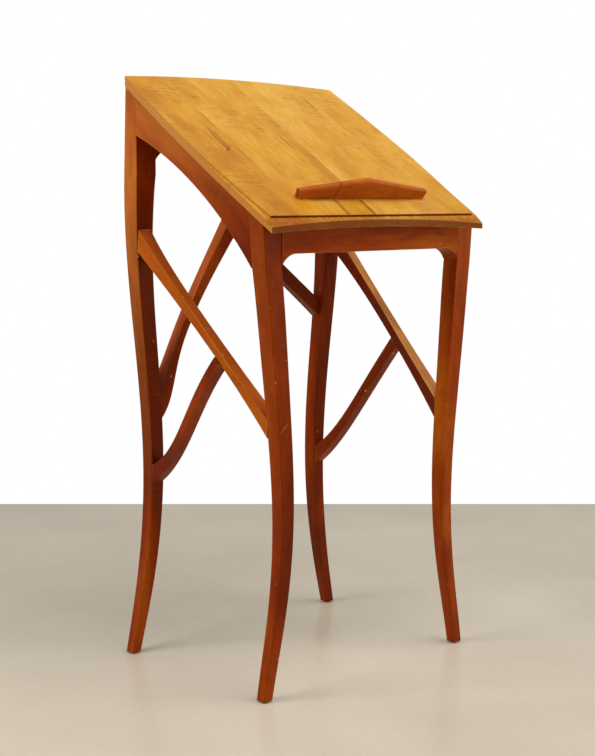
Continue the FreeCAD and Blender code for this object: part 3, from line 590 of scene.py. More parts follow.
class WoodPiece:
    """The wood of one piece, laid on its material layer by layer.

    Attributes:
        look: The finish.
        cut: How the piece was cut.
        bench: The material's bench.
        place: The place in the tree, with the fibres upright.
        colour: The colour so far.
        height: The height of the surface so far.
    """

    def __init__(self, look: WoodFinish, piece: str, cut: Cut) -> None:
        """Starts the material with its broad colour.

        Args:
            look: The finish.
            piece: The piece it is for.
            cut: How the piece was cut.
        """
        self.look = look
        self.cut = cut
        self.bench = Bench(f"{look.name}_{piece}")
        self.place = self.bench.turned(cut.grain.turn(), cut.shift)
        stops = [
            (BROAD_MIDDLE - look.spread, look.deep),
            (NOISE_MIDDLE, look.body),
            (BROAD_MIDDLE + look.spread, look.pale),
        ]
        slow = self.bench.cloud(self.place, BROAD.stroked(look.stroke))
        self.colour = self.bench.ramp(self.bench.sum("ADD", slow, cut.shade), stops)

    def lay(self) -> bpy.types.Material:
        """Lays every layer, from the rings to the lacquer.

        Returns:
            The material.
        """
        self._rings()
        self._curl()
        self._fibres()
        self._end_grain()
        if self.look.up_light_and_fade or self.look.high_light_and_fade:
            self._paint_light_and_fade()
        rubbed_and_highlit = self._wear_and_highlight()
        if self.cut.marks:
            self._lay_marks()
        self._gloss(rubbed_and_highlit)
        return self.bench.material

    def _over(self, share: Number, colour: Swatch) -> None:
        """Lays a colour over the wood."""
        self.colour = self.bench.tint(share, self.colour, colour)

    def _patches(self, noise: Noise, start: float = 0.0, end: float = 1.0) -> Socket:
        """Adds soft patches, fixed in the tree."""
        return self.bench.patches(self.place, noise, start, end)

    def _rings(self) -> None:
        """Draws the rings of the years, faint in places."""
        bench, look = self.bench, self.look
        wander = bench.sum("SUBTRACT", bench.cloud(self.place, RING_WANDER), NOISE_MIDDLE)
        out = bench.length(bench.stretched(self.place, (1.0, 1.0, 0.0)))
        bent = bench.sum("ADD", out, bench.times(wander, RING_SWAY))
        part = bench.sum("FRACT", bench.sum("DIVIDE", bent, look.ring))
        ring = bench.times(bench.band(part, *LATE_WOOD), self._patches(RING_FAINT))
        self._over(bench.times(ring, look.ring_show), look.line)

    def _curl(self) -> None:
        """Draws the curl across the fibres, with amber flecks under it."""
        bench, look = self.bench, self.look
        show = look.curl_show * self.cut.curl
        share = min(AMBER_MOST, show * AMBER_SHARE)
        self._over(bench.times(self._patches(AMBER_FLECK), share), look.deep)
        wave = bench.cloud(self.place, CURL_WAVE.stroked(1.0 / look.curl_pitch))
        patch = self._patches(CURL_PATCH)
        dark = bench.times(bench.band(wave, *CURL_DARK), patch)
        self._over(bench.times(dark, show), look.line)
        glow = bench.times(bench.band(wave, *CURL_LIGHT), patch)
        self._over(bench.times(glow, show * CURL_GLOW), look.pale)

    def _fibres(self) -> None:
        """Draws the mottle, fibres, pores and fine scratches."""
        bench, look = self.bench, self.look
        self._over(self._patches(MOTTLE, 0.0, look.speck), look.deep)
        fibre = bench.cloud(self.place, FIBRE)
        strands = bench.band(fibre, FIBRE.low, FIBRE.high, 0.0, FIBRE_SHOW)
        self._over(strands, look.line)
        pore = self._patches(PORE)
        self._over(bench.times(pore, look.pore_show), look.line)
        thin = self._patches(THIN_SCRATCH, 0.0, look.scratch)
        self._over(bench.times(thin, self._patches(SCRATCHED)), look.line)
        self.height = bench.sum("SUBTRACT", bench.times(fibre, FIBRE_RELIEF), pore)

    def _end_grain(self) -> None:
        """Darkens the faces that cut across the fibres, which drink more stain."""
        bench, look = self.bench, self.look
        facing = bench.facing()
        across = bench.sum("ABSOLUTE", bench.along(facing, self.cut.grain.value))
        share = bench.band(across, *END_FACE, 0.0, look.end_show)
        self._over(share, look.ends or look.line)
        if look.sides:
            over = bench.sum("ABSOLUTE", bench.along(facing, RIGHT))
            self._over(bench.band(over, *SIDE_FACE, 0.0, SIDE_SHOW), look.sides)

    def _paint_light_and_fade(self) -> None:
        """Paints light on the faces that look up, and higher on the outer face, in a
        paler colour that also stands for faded stain.
        """
        bench, look, cut = self.bench, self.look, self.cut
        facing = bench.facing()
        lift = bench.along(facing, ABOVE)
        up = bench.band(lift, *LIT_UP_RANGE, 0.0, look.up_light_and_fade * cut.up_light_and_bleach)
        out = bench.along(facing, cut.lit_side)
        lit = bench.band(out, *LIT_OUT_RANGE, 0.0, look.high_light_and_fade * cut.lit_and_sunned)
        rise = bench.along(bench.place, ABOVE)
        high = bench.times(bench.band(rise, cut.lit_from, LIT_FULL_HEIGHT), lit)
        both = bench.sum("ADD", up, high, clamp=True)
        patch = self._patches(LIT_FADE_PATCH, LIT_FADE_LEAST, 1.0)
        self._over(bench.times(both, patch), look.lit_and_faded)

    def _wear_and_highlight(self) -> Socket:
        """Darkens the arrises with painted shade, lays them pale as wear and painted
        highlight, and knocks small chips out of the wood.

        Returns:
            How far the lacquer is rubbed away, with the painted highlight on the arrises
            counted in.
        """
        bench, look = self.bench, self.look
        arris = bench.arris(look.arris_reach, look.arris_sharp)
        edge = bench.times(arris, self.cut.rub_and_highlight)
        for join in self.cut.joined:
            edge = bench.times(edge, join.bare(bench))
        rubbed_and_highlit = bench.times(bench.times(edge, self._patches(RUB_AND_HIGHLIGHT_PATCH)), look.wear_and_highlight)
        # Painted shade: the arrises are darkened where the rounded faces turn from the
        # light.
        if look.arris_shade:
            self._over(bench.times(edge, look.arris_shade, clamp=True), look.line)
        # Wear and painted highlight: the arrises are laid pale.
        self._over(rubbed_and_highlit, look.worn)
        chip = self._chips()
        self._over(chip, look.worn)
        self.height = bench.sum("SUBTRACT", self.height, bench.times(chip, CHIP_DEEP))
        return bench.sum("ADD", rubbed_and_highlit, chip, clamp=True)

    def _chips(self) -> Socket:
        """Finds the small ragged chips, in a few of many small cells.

        Returns:
            A number that is above 0 within a chip.
        """
        bench, chips = self.bench, self.look.chips
        ragged = bench.add("ShaderNodeTexNoise")
        ragged.inputs["Scale"].default_value = CHIP_RAGGED
        ragged.inputs["Detail"].default_value = 2.0
        bench.join(self.place, ragged.inputs["Vector"])
        push = bench.stretched(ragged.outputs["Color"], CHIP_PUSH)
        bent = bench.arrow("ADD", bench.stretched(self.place, CHIP_SCALE), push)
        spots = bench.add("ShaderNodeTexVoronoi")
        spots.inputs["Scale"].default_value = 1.0
        bench.join(bent.outputs[0], spots.inputs["Vector"])
        pick = bench.add("ShaderNodeSeparateColor")
        bench.join(spots.outputs["Color"], pick.inputs["Color"])
        low, high = (level - CHIP_MORE * chips for level in CHIP_RARE)
        rare = bench.band(pick.outputs[0], low, high)
        size = bench.sum("ADD", bench.times(pick.outputs[1], CHIP_VARY), CHIP_LEAST)
        small = bench.sum("LESS_THAN", spots.outputs["Distance"], size)
        return bench.times(bench.times(rare, small), min(1.0, chips * CHIP_SHOW))

    def _lay_marks(self) -> None:
        """Lays the streaks and scratches near the face at 0 along Y."""
        bench, cut = self.bench, self.cut
        face = bench.turned(cut.grain.turn(), cut.zero)
        wander = bench.cloud(face, MARK_WANDER)
        parts = bench.add("ShaderNodeSeparateXYZ")
        bench.join(face, parts.inputs[0])
        near = bench.band(parts.outputs["Y"], *MARK_DEPTH)
        for mark in cut.marks:
            self._over(bench.times(mark.lay(bench, face, wander), near), mark.colour)

    def _gloss(self, rubbed_and_highlit: Socket) -> None:
        """Sets how the lacquer shines, and how the surface feels.

        Args:
            rubbed_and_highlit: How far the lacquer is rubbed away, with the painted
                highlight on the arrises counted in.
        """
        bench, look, shader = self.bench, self.look, self.bench.shader
        bench.join(self.colour, shader.inputs["Base Color"])
        matt = self._patches(SMEAR, *(look.gloss + step for step in SMEAR_SPAN))
        rough = bench.sum("ADD", matt, bench.times(rubbed_and_highlit, RUBBED_MATT), clamp=True)
        bench.join(rough, shader.inputs["Roughness"])
        shader.inputs["Specular IOR Level"].default_value = look.shine
        shader.inputs["Specular Tint"].default_value = look.sheen.linear()
        shader.inputs["Coat Weight"].default_value = look.coat
        shader.inputs["Coat Roughness"].default_value = COAT_ROUGH
        bench.feel(self.height, *WOOD_FEEL)


TARNISH = Noise((260.0, 260.0, 260.0), 4.0, 0.6, low=0.36, high=0.62)
TARNISH_MATT = (0.30, 0.70)
METAL_SCRATCH = Noise((2600.0, 420.0, 900.0))
METAL_ARRIS = 0.0006
METAL_FEEL = (0.3, 0.00005)


@dataclass(frozen=True)
class MetalFinish:
    """A plain fixing metal, bright, with dull patches and fine scratches."""

    name: str
    bright: Swatch
    dull: Swatch
    gloss: float

    def make(self, piece: str) -> bpy.types.Material:
        """Makes the material of one metal piece.

        Args:
            piece: The piece it is for.

        Returns:
            The material.
        """
        bench = Bench(f"{self.name}_{piece}")
        tarnish = bench.cloud(bench.place, TARNISH)
        stops = [(TARNISH.low, self.dull), (TARNISH.high, self.bright)]
        colour = bench.ramp(tarnish, stops)
        edge = bench.times(bench.arris(METAL_ARRIS), 0.5)
        colour = bench.tint(edge, colour, self.bright)
        shader = bench.shader
        bench.join(colour, shader.inputs["Base Color"])
        shader.inputs["Metallic"].default_value = 1.0
        dull, clean = self.gloss + 0.16, self.gloss - 0.06
        rough = bench.band(tarnish, *TARNISH_MATT, dull, clean)
        bench.join(rough, shader.inputs["Roughness"])
        bench.feel(bench.cloud(bench.place, METAL_SCRATCH), *METAL_FEEL)
        return bench.material


def dress(nodes: Nodes, name: str, material: bpy.types.Material) -> None:
    """Puts a finish on one piece and reports it.

    Args:
        nodes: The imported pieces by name.
        name: The piece.
        material: Its finish.
    """
    for slot in nodes[name].material_slots:
        slot.material = material
    LOG.info("%s: %s", name, material.name)


@dataclass(frozen=True)
class Board:
    """One wooden piece, with its finish and the way it was cut."""

    name: str
    finish: WoodFinish
    cut: Cut

    def dress(self, nodes: Nodes) -> None:
        """Puts the finish on the piece."""
        dress(nodes, self.name, self.finish.make(self.name, self.cut))


STAIN = Swatch(150, 66, 14)
AMBER = Swatch(186, 112, 14)
TOP_MARKS = (
    Mark((-0.2285, 0.3760), (-0.2330, 0.3450), 0.0024, 0.95),
    Mark((-0.2330, 0.3450), (-0.2345, 0.3120), 0.0033, 1.00),
    Mark((-0.2345, 0.3120), (-0.2320, 0.2920), 0.0038, 1.00),
    Mark((-0.2320, 0.2920), (-0.2400, 0.2790), 0.0028, 1.00),
    Mark((-0.2215, 0.3580), (-0.2262, 0.3240), 0.0025, 0.95),
    Mark((-0.2262, 0.3240), (-0.2245, 0.2950), 0.0030, 1.00),
    Mark((-0.2245, 0.2950), (-0.2340, 0.2810), 0.0027, 0.95),
    Mark((-0.2290, 0.4050), (-0.2260, 0.2500), 0.0110, 0.35, Swatch(176, 104, 24)),
    Mark((0.1820, 0.5420), (0.1800, 0.4940), 0.0026, 0.85),
    Mark((-0.0800, 0.0900), (-0.0818, 0.0800), 0.0070, 0.55, STAIN),
    Mark((-0.0818, 0.0800), (-0.0864, 0.0310), 0.0100, 0.80, STAIN),
    Mark((-0.0075, 0.0840), (-0.0088, 0.0300), 0.0056, 0.90, Swatch(104, 48, 12)),
    Mark((-0.1380, 0.2868), (-0.1180, 0.2760), 0.0014, 0.50),
    Mark((-0.1500, 0.0890), (-0.0300, 0.0900), 0.0120, 0.50, STAIN),
    Mark((0.0300, 0.0900), (0.1500, 0.0890), 0.0110, 0.35, STAIN),
    Mark((-0.2980, 0.5300), (-0.2960, 0.3700), 0.0260, 0.55, AMBER),
    Mark((-0.2900, 0.2600), (-0.2870, 0.1700), 0.0170, 0.40, AMBER),
    Mark((0.3110, 0.2720), (0.3190, 0.2600), 0.0030, 0.50),
    Mark((-0.1120, 0.4660), (-0.0980, 0.4560), 0.0036, 0.40),
    Mark((0.1270, 0.4830), (0.1340, 0.4760), 0.0026, 0.50),
)

STOP_MARKS = (
    Mark((-1.047, -0.0854), (-1.085, -0.0750), 0.0048, 0.80, Swatch(84, 26, 2)),
    Mark((-1.036, -0.1900), (-1.050, -0.0950), 0.0060, 0.45, Swatch(112, 30, 2)),
)

LEG_MARKS = (
    Mark((-0.2514, 0.5865), (-0.2629, 0.5754), 0.0015, 0.70, Swatch(222, 150, 88)),
    Mark((-0.2629, 0.5754), (-0.2730, 0.5662), 0.0013, 0.45, Swatch(214, 140, 78)),
)

GOLDEN = WoodFinish(
    name="golden_maple",
    deep=Swatch(192, 120, 14),
    body=Swatch(220, 158, 46),
    pale=Swatch(236, 184, 84),
    line=Swatch(134, 70, 8),
    worn=Swatch(238, 190, 96),
    sheen=Swatch(255, 216, 120),
    ring=0.006,
    ring_show=0.08,
    stroke=4.5,
    curl_show=0.34,
    curl_pitch=0.0060,
    speck=0.45,
    scratch=0.55,
    pore_show=0.25,
    wear_and_highlight=0.35,
    chips=0.12,
    spread=0.25,
    gloss=0.38,
    ends=Swatch(112, 43, 12),
    end_show=0.88,
    sides=Swatch(190, 124, 62),
    shine=0.24,
)

RUSSET = WoodFinish(
    name="russet_maple",
    deep=Swatch(108, 30, 0),
    body=Swatch(149, 51, 0),
    pale=Swatch(188, 92, 14),
    line=Swatch(92, 28, 0),
    worn=Swatch(222, 158, 80),
    # Painted light: the paler colour of the faces that look up and of the high outer
    # faces, also standing for faded stain.
    lit_and_faded=Swatch(216, 128, 50),
    up_light_and_fade=0.80,
    high_light_and_fade=0.62,
    ring=0.0042,
    ring_show=0.36,
    curl_show=0.16,
    curl_pitch=0.011,
    spread=0.165,
    arris_reach=0.0036,
    arris_sharp=0.88,
    arris_shade=0.45,
    shine=0.20,
    sheen=Swatch(255, 156, 76),
    wear_and_highlight=0.60,
    chips=0.95,
    end_show=0.3,
)

# These two differ from RUSSET in the paler colour of their painted light on the faces
# that look up.
GILT = replace(RUSSET, name="gilt_maple", lit_and_faded=Swatch(255, 176, 88))
COPPER = replace(RUSSET, name="copper_maple", lit_and_faded=Swatch(222, 110, 44), wear_and_highlight=0.9)

STOP = WoodFinish(
    name="stop_maple",
    deep=Swatch(136, 56, 4),
    body=Swatch(192, 92, 12),
    pale=Swatch(214, 122, 34),
    line=Swatch(92, 34, 2),
    worn=Swatch(222, 158, 96),
    ring=0.0038,
    curl_show=0.15,
    chips=0.2,
)

BEECH = WoodFinish(
    name="plain_beech",
    deep=Swatch(186, 148, 104),
    body=Swatch(206, 170, 126),
    pale=Swatch(220, 188, 146),
    line=Swatch(150, 108, 70),
    worn=Swatch(226, 200, 164),
    ring_show=0.2,
    wear_and_highlight=0.2,
    chips=0.0,
    gloss=0.62,
    coat=0.0,
)

BUTTON = WoodFinish(
    name="plain_button",
    deep=Swatch(168, 122, 74),
    body=Swatch(190, 146, 94),
    pale=Swatch(208, 168, 116),
    line=Swatch(130, 86, 48),
    worn=Swatch(214, 180, 134),
    wear_and_highlight=0.3,
    chips=0.1,
    gloss=0.60,
    coat=0.0,
)

ZINC = MetalFinish("bright_zinc", Swatch(205, 203, 198), Swatch(150, 148, 142), 0.30)
NICKEL = MetalFinish("dull_nickel", Swatch(186, 180, 170), Swatch(118, 110, 100), 0.36)


@dataclass(frozen=True)
class Plank:
    """One plank of the top, and how far across and up its tree it was cut."""

    name: str
    across: float
    up: float
    shade: float
    curl: float


@dataclass
class SlopingTop:
    """The four planks of the top and the gabled book stop on them.

    Attributes:
        front: Where its front corner line is, back and up.
        depth: How deep in their trees the planks were cut.
        planks: The planks, from left to right.
        seams: Where they meet, right of the middle.
        beyond: A reach past either side of the top.
        field_run: How far up the slope the raised field starts.
        field_half: Half the width of the field there.
        step_half, step_line_colour: Half the width, and the colour, of the dark line
            along its step.
        margin_run, margin_half: The middle and half the width of the worn margin.
        stop_zero: The shift that brings the front of the stop to zero.
    """

    front: tuple[float, float] = (-0.2608, 0.9973)
    depth: float = 0.055
    planks: tuple[Plank, ...] = (
        Plank("top_plank_outer_left", 0.245, 0.31, -0.09, 1.2),
        Plank("top_plank_inner_left", 0.085, 1.17, -0.01, 1.0),
        Plank("top_plank_inner_right", -0.105, 2.43, 0.05, 0.8),
        Plank("top_plank_outer_right", -0.280, 3.92, 0.04, 0.9),
    )
    seams: tuple[float, ...] = (-0.2, 0.0, 0.2)
    beyond: float = 1.0
    field_run: float = 0.0280
    field_half: float = 0.3055
    step_half: float = 0.0019
    step_line_colour: Swatch = Swatch(108, 32, 8)
    margin_run: float = 0.002
    margin_half: float = 0.042
    stop_zero: Triple = (0.0, 0.17, 0.0)

    def board_shift(self) -> Vector:
        """Gives the shift that brings the board's front corner line to zero."""
        corner = Vector((0.0, *self.front))
        turned = Vector(ABOVE).rotation_difference(Vector(Grain.SLOPE.value))
        return -(turned.inverted() @ corner)

    def _marks(self, low: float, high: float) -> tuple[Mark, ...]:
        """Gives the marks of the plank between two seams.

        Args:
            low: The seam on its left.
            high: The seam on its right.

        Returns:
            Its stained front margin, the dark line along its step, and its own marks.
        """
        run = self.margin_run
        margin = Mark((low, run), (high, run), self.margin_half, 1.0, STAIN)
        left, right = max(low, -self.field_half), min(high, self.field_half)
        run = self.field_run
        step = Mark((left, run), (right, run), self.step_half, 0.75, self.step_line_colour)
        return (margin, step, *(mark for mark in TOP_MARKS if low < mark.start[0] < high))

    def build(self, nodes: Nodes) -> None:
        """Dresses the planks and the stop.

        Args:
            nodes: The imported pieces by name.
        """
        zero = self.board_shift()
        edges = (-self.beyond, *self.seams, self.beyond)
        for plank, left, right in zip(self.planks, edges, edges[1:]):
            cut = Cut(
                Grain.SLOPE,
                shift=(zero.x + plank.across, zero.y + self.depth, zero.z + plank.up),
                shade=plank.shade,
                curl=plank.curl,
                joined=(Joined(LEFT, -left), Joined(RIGHT, right)),
                marks=self._marks(left, right),
                zero=tuple(zero),
            )
            Board(plank.name, GOLDEN, cut).dress(nodes)
        stop = Cut(
            Grain.ACROSS, (0.4, 0.11, 0.7), rub_and_highlight=1.6, marks=STOP_MARKS, zero=self.stop_zero
        )
        Board("book_stop", STOP, stop).dress(nodes)
        Board("book_stop_dowels", BEECH, Cut(Grain.UP)).dress(nodes)


@dataclass
class LegFrame:
    """The four sabre legs and the rails tenoned into them.

    Attributes:
        front_head, back_head: The heights at which the legs meet the rails.
        leg_zero: The shift that brings the front of a front leg to zero.
        rail_lit_and_sunned: How much painted light and faded stain the outer faces of the
            rails get.
        rail_lit_from: The height from which that painted light starts.
        front_half, back_half: How far out the cross rails meet the legs.
        side_front, side_back: How far forward and back the side rails do.
    """

    front_head: float = 0.904
    back_head: float = 1.095
    leg_zero: Triple = (0.0, 0.232, 0.0)
    rail_lit_and_sunned: float = 0.80
    rail_lit_from: float = 0.96
    front_half: float = 0.264
    back_half: float = 0.253
    side_front: float = 0.180
    side_back: float = 0.200

    def _legs(self) -> tuple[Board, ...]:
        """Gives the legs, each with painted light and faded stain high on its outer face.
        """
        front = (Joined(ABOVE, self.front_head),)
        back = (Joined(ABOVE, self.back_head),)
        front_left = Cut(
            Grain.UP, (0.41, 0.33, 0.2), -0.01, lit_and_sunned=0.3, joined=front,
            marks=LEG_MARKS, zero=self.leg_zero,
        )
        front_right = Cut(
            Grain.UP, (-0.19, 0.32, 4.1), 0.04, lit_and_sunned=1.1, lit_side=FRONT, lit_from=0.5,
            joined=front,
        )
        # Painted shade: the back legs are set darker than the front ones, as they stand
        # in less light.
        back_left = Cut(Grain.UP, (0.42, -0.13, 7.3), -0.10, joined=back)
        back_right = Cut(Grain.UP, (-0.21, -0.35, 9.9), -0.10, lit_side=RIGHT, joined=back)
        return (
            Board("leg_front_left", RUSSET, front_left),
            Board("leg_front_right", COPPER, front_right),
            Board("leg_back_left", RUSSET, back_left),
            Board("leg_back_right", RUSSET, back_right),
        )

    def _rails(self) -> tuple[Board, ...]:
        """Gives the rails, with painted light and faded stain high on their outer faces,
        and clean at their tenons.
        """
        front, back = (
            (Joined(LEFT, half), Joined(RIGHT, half))
            for half in (self.front_half, self.back_half)
        )
        side = (Joined(FRONT, self.side_front), Joined(BACK, self.side_back))
        rows = (
            ("front_rail", Grain.ACROSS, (0.9, 0.28, 12.5), 0.06, FRONT, front),
            ("back_rail", Grain.ACROSS, (1.1, -0.14, 15.3), -0.05, BACK, back),
            ("side_rail_left", Grain.SLOPE, (0.37, 0.10, 18.8), -0.08, LEFT, side),
            ("side_rail_right", Grain.SLOPE, (-0.20, 0.12, 21.2), -0.05, RIGHT, side),
        )
        lit_and_faded = {"lit_and_sunned": self.rail_lit_and_sunned, "lit_from": self.rail_lit_from}
        return tuple(
            Board(name, RUSSET, Cut(grain, shift, shade, lit_side=lit_side, joined=ends, **lit_and_faded))
            for name, grain, shift, shade, lit_side, ends in rows
        )

    def build(self, nodes: Nodes) -> None:
        """Dresses the legs and rails.

        Args:
            nodes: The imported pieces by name.
        """
        for board in (*self._legs(), *self._rails()):
            board.dress(nodes)


@dataclass
class BraceWork:
    """The curved braces and struts, and how much painted light and faded stain their
    outer faces get.
    """

    lit_and_sunned: float = 0.0

    def build(self, nodes: Nodes) -> None:
        """Dresses the braces, the struts and their dowels.

        Args:
            nodes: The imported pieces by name.
        """
        brace, strut = Grain.SIDE_BRACE, Grain.SIDE_STRUT
        left_brace = Cut(brace, (0.35, 0.08, 31.0), 0.16, up_light_and_bleach=0.70, rub_and_highlight=2.0)
        # Painted shade: the right brace is set darker, for its side face stands in less
        # light.
        right_brace = Cut(brace, (-0.18, 0.09, 33.6), -0.08, up_light_and_bleach=1.3)
        left_strut = Cut(strut, (0.36, 0.07, 36.1), -0.12, up_light_and_bleach=0.2)
        right_strut = Cut(strut, (-0.19, 0.11, 38.7), 0.0, up_light_and_bleach=0.6)
        brace, strut = Grain.BACK_BRACE, Grain.BACK_STRUT
        # Painted shade: the back brace and back strut are set darker, as they stand back
        # under the top.
        back_brace = Cut(brace, (0.08, -0.14, 41.2), -0.07, up_light_and_bleach=1.35, rub_and_highlight=1.4)
        back_strut = Cut(strut, (0.11, -0.16, 43.9), -0.25, up_light_and_bleach=0.0, rub_and_highlight=0.6)
        rows = (
            ("side_brace_left", COPPER, left_brace),
            ("side_brace_right", GILT, right_brace),
            ("side_strut_left", RUSSET, left_strut),
            ("side_strut_right", RUSSET, right_strut),
            ("back_brace", COPPER, back_brace),
            ("back_strut", RUSSET, back_strut),
            ("brace_dowels_left", BEECH, Cut(Grain.SIDE_BRACE)),
            ("brace_dowels_right", BEECH, Cut(Grain.SIDE_BRACE)),
            ("brace_dowels_back", BEECH, Cut(Grain.BACK_BRACE)),
        )
        for name, finish, cut in rows:
            Board(name, finish, replace(cut, lit_and_sunned=self.lit_and_sunned)).dress(nodes)


@dataclass
class Fixings:
    """The buttons and screws that hold the top, and a glide at each end and hand."""

    ends: tuple[str, str] = ("front", "back")
    hands: tuple[str, str] = ("left", "right")

    def build(self, nodes: Nodes) -> None:
        """Dresses the buttons, screws and glides.

        Args:
            nodes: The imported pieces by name.
        """
        Board("top_buttons", BUTTON, Cut(Grain.ACROSS)).dress(nodes)
        dress(nodes, "top_screws", ZINC.make("top_screws"))
        for end in self.ends:
            for hand in self.hands:
                name = f"glide_{end}_{hand}"
                dress(nodes, name, NICKEL.make(name))


@dataclass(frozen=True)
class SoftBox:
    """A large soft lamp.

    Attributes:
        place, aim: Where it stands and what it points at.
        size: Its width and height.
        power: Its power in watts.
    """

    name: str
    place: Triple
    aim: Triple
    size: tuple[float, float]
    power: float

    def hang(self) -> None:
        """Makes the lamp and turns it to its aim."""
        data = bpy.data.lights.new(self.name, "AREA")
        data.shape = "RECTANGLE"
        data.size = self.size[0]
        data.size_y = self.size[1]
        data.energy = self.power
        lamp = bpy.data.objects.new(self.name, data)
        bpy.context.scene.collection.objects.link(lamp)
        lamp.location = self.place
        away = Vector(self.place) - Vector(self.aim)
        lamp.rotation_euler = away.to_track_quat("Z", "Y").to_euler()


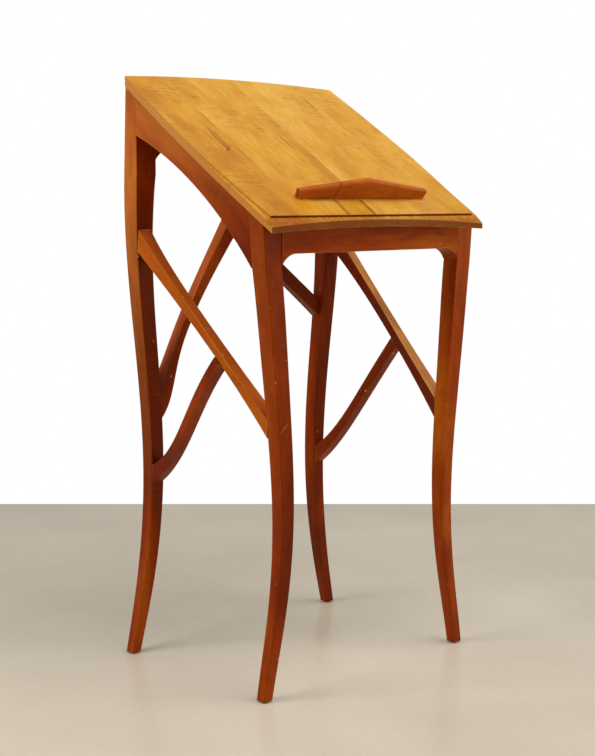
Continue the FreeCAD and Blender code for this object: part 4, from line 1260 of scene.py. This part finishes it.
@dataclass
class Studio:
    """The pale floor, the white surround, the lamps and the camera.

    Attributes:
        camera_place: Where the camera stands.
        camera_dip: How far it looks down, in degrees.
        camera_turn: How far it is turned right of +Y, in degrees.
        lens: Its focal length in millimetres.
        frame_wide: How wide its frame is, in millimetres.
        floor_reach: Half the width of the floor.
        floor_dark, floor_pale: The colours of the floor.
        floor_cloud, floor_speckle: The soft clouds and fine speckle in it.
        speckle_show: How strongly that speckle shows.
        floor_matt: How matt the floor is, where it shines most and least.
        wall_line: How far from the camera the floor meets the white surround.
        world_light, world_colour: The light that the surround gives.
        lamps: The soft lamps.
    """

    camera_place: Triple = (-2.178, -2.3592, 1.050)
    camera_dip: float = 7.30
    camera_turn: float = 42.49
    lens: float = 85.6
    frame_wide: float = 36.0
    floor_reach: float = 9.0
    floor_dark: Swatch = Swatch(215, 202, 180)
    floor_pale: Swatch = Swatch(228, 215, 193)
    floor_cloud: Noise = Noise((2.2, 2.2, 1.0), 3.0, low=0.3, high=0.7)
    floor_speckle: Noise = Noise((60.0, 60.0, 1.0), 3.0)
    speckle_show: float = 0.35
    floor_matt: tuple[float, float] = (0.24, 0.32)
    wall_line: float = 4.78
    world_light: float = 0.38
    world_colour: tuple[float, float, float, float] = (1.0, 0.99, 0.97, 1.0)
    lamps: tuple[SoftBox, ...] = (
        SoftBox("left", (-2.2, 0.55, 2.1), (-0.1, 0.1, 0.9), (1.4, 1.4), 34.0),
        SoftBox("above", (0.3, -1.1, 3.3), (0.0, 0.0, 0.9), (1.8, 1.4), 44.0),
        SoftBox("right", (2.4, -0.4, 1.4), (0.0, 0.0, 0.8), (1.2, 1.4), 5.0),
        SoftBox("low", (1.1, -2.7, 0.7), (0.0, 0.0, 0.30), (1.2, 0.8), 9.0),
    )

    def build(self) -> None:
        """Sets up the whole studio."""
        self._world()
        self._floor()
        for lamp in self.lamps:
            lamp.hang()
            LOG.info("lamp %s: %.0f W", lamp.name, lamp.power)
        self._camera()
        bpy.context.scene.view_settings.view_transform = "Standard"

    def _world(self) -> None:
        """Makes the surround, white to look at and softer as a light."""
        world = bpy.data.worlds.new("surround")
        bpy.context.scene.world = world
        world.use_nodes = True
        tree = world.node_tree
        tree.nodes.clear()
        end = tree.nodes.new("ShaderNodeOutputWorld")
        mix = tree.nodes.new("ShaderNodeMixShader")
        light = tree.nodes.new("ShaderNodeBackground")
        seen = tree.nodes.new("ShaderNodeBackground")
        light.inputs["Color"].default_value = self.world_colour
        light.inputs["Strength"].default_value = self.world_light
        seen.inputs["Color"].default_value = WHITE
        seen.inputs["Strength"].default_value = 1.0
        tree.links.new(looked_at(tree), mix.inputs["Fac"])
        tree.links.new(light.outputs[0], mix.inputs[1])
        tree.links.new(seen.outputs[0], mix.inputs[2])
        tree.links.new(mix.outputs[0], end.inputs["Surface"])

    def _floor(self) -> None:
        """Lays the floor, pale near the stand and white beyond the wall line."""
        reach = self.floor_reach
        round_it = ((-reach, -reach), (reach, -reach), (reach, reach), (-reach, reach))
        mesh = bpy.data.meshes.new("floor")
        mesh.from_pydata([(x, y, 0.0) for x, y in round_it], [], [(0, 1, 2, 3)])
        floor = bpy.data.objects.new("floor", mesh)
        bpy.context.scene.collection.objects.link(floor)
        mesh.materials.append(self._floor_finish())
        LOG.info("floor: %.0f m wide", 2.0 * reach)

    def _floor_finish(self) -> bpy.types.Material:
        """Makes the floor's finish.

        Returns:
            The material.
        """
        bench = Bench("floor_pale")
        turn = math.radians(self.camera_turn)
        ahead = (math.sin(turn), math.cos(turn), 0.0)
        here = Vector(self.camera_place).dot(Vector(ahead))
        far = bench.along(bench.place, ahead)
        past = bench.sum("GREATER_THAN", far, here + self.wall_line)
        soft = bench.cloud(bench.place, self.floor_cloud)
        fine = bench.cloud(bench.place, self.floor_speckle)
        about = bench.sum("SUBTRACT", fine, NOISE_MIDDLE)
        speckle = bench.times(about, self.speckle_show)
        stops = [(0.25, self.floor_dark), (0.75, self.floor_pale)]
        colour = bench.ramp(bench.sum("ADD", soft, speckle), stops)
        matt = bench.band(
            soft, self.floor_cloud.low, self.floor_cloud.high, *self.floor_matt
        )
        shader = bench.shader
        bench.join(colour, shader.inputs["Base Color"])
        bench.join(matt, shader.inputs["Roughness"])
        shader.inputs["Specular IOR Level"].default_value = 0.5
        white = bench.add("ShaderNodeEmission")
        white.inputs["Color"].default_value = WHITE
        white.inputs["Strength"].default_value = 1.0
        mix = bench.add("ShaderNodeMixShader")
        share = bench.times(past, looked_at(bench.tree))
        bench.join(share, mix.inputs["Fac"])
        bench.join(shader.outputs["BSDF"], mix.inputs[1])
        bench.join(white.outputs["Emission"], mix.inputs[2])
        bench.join(mix.outputs[0], bench.end.inputs["Surface"])
        return bench.material

    def _camera(self) -> None:
        """Sets the camera at its place and points it."""
        data = bpy.data.cameras.new("camera")
        data.sensor_fit = "HORIZONTAL"
        data.sensor_width = self.frame_wide
        data.lens = self.lens
        camera = bpy.data.objects.new("camera", data)
        bpy.context.scene.collection.objects.link(camera)
        camera.location = self.camera_place
        camera.rotation_euler = (
            math.radians(90.0 - self.camera_dip),
            0.0,
            -math.radians(self.camera_turn),
        )
        bpy.context.scene.camera = camera
        LOG.info("camera: %.1f mm", self.lens)


def looked_at(tree: bpy.types.NodeTree) -> Socket:
    """Finds whether a ray is one that the camera sees by, straight or through glass.

    Args:
        tree: The node tree.

    Returns:
        A number that is 1 for such a ray.
    """
    path = tree.nodes.new("ShaderNodeLightPath")
    node = tree.nodes.new("ShaderNodeMath")
    node.operation = "MAXIMUM"
    tree.links.new(path.outputs["Is Camera Ray"], node.inputs[0])
    tree.links.new(path.outputs["Is Transmission Ray"], node.inputs[1])
    return node.outputs[0]


def main() -> None:
    """Loads the stand, dresses each part of it and sets up the studio."""
    logging.basicConfig(level=logging.INFO, format="%(message)s")
    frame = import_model()
    nodes = frame["nodes"]
    SlopingTop().build(nodes)
    LegFrame().build(nodes)
    BraceWork().build(nodes)
    Fixings().build(nodes)
    Studio().build()


if __name__ == "__main__":
    main()
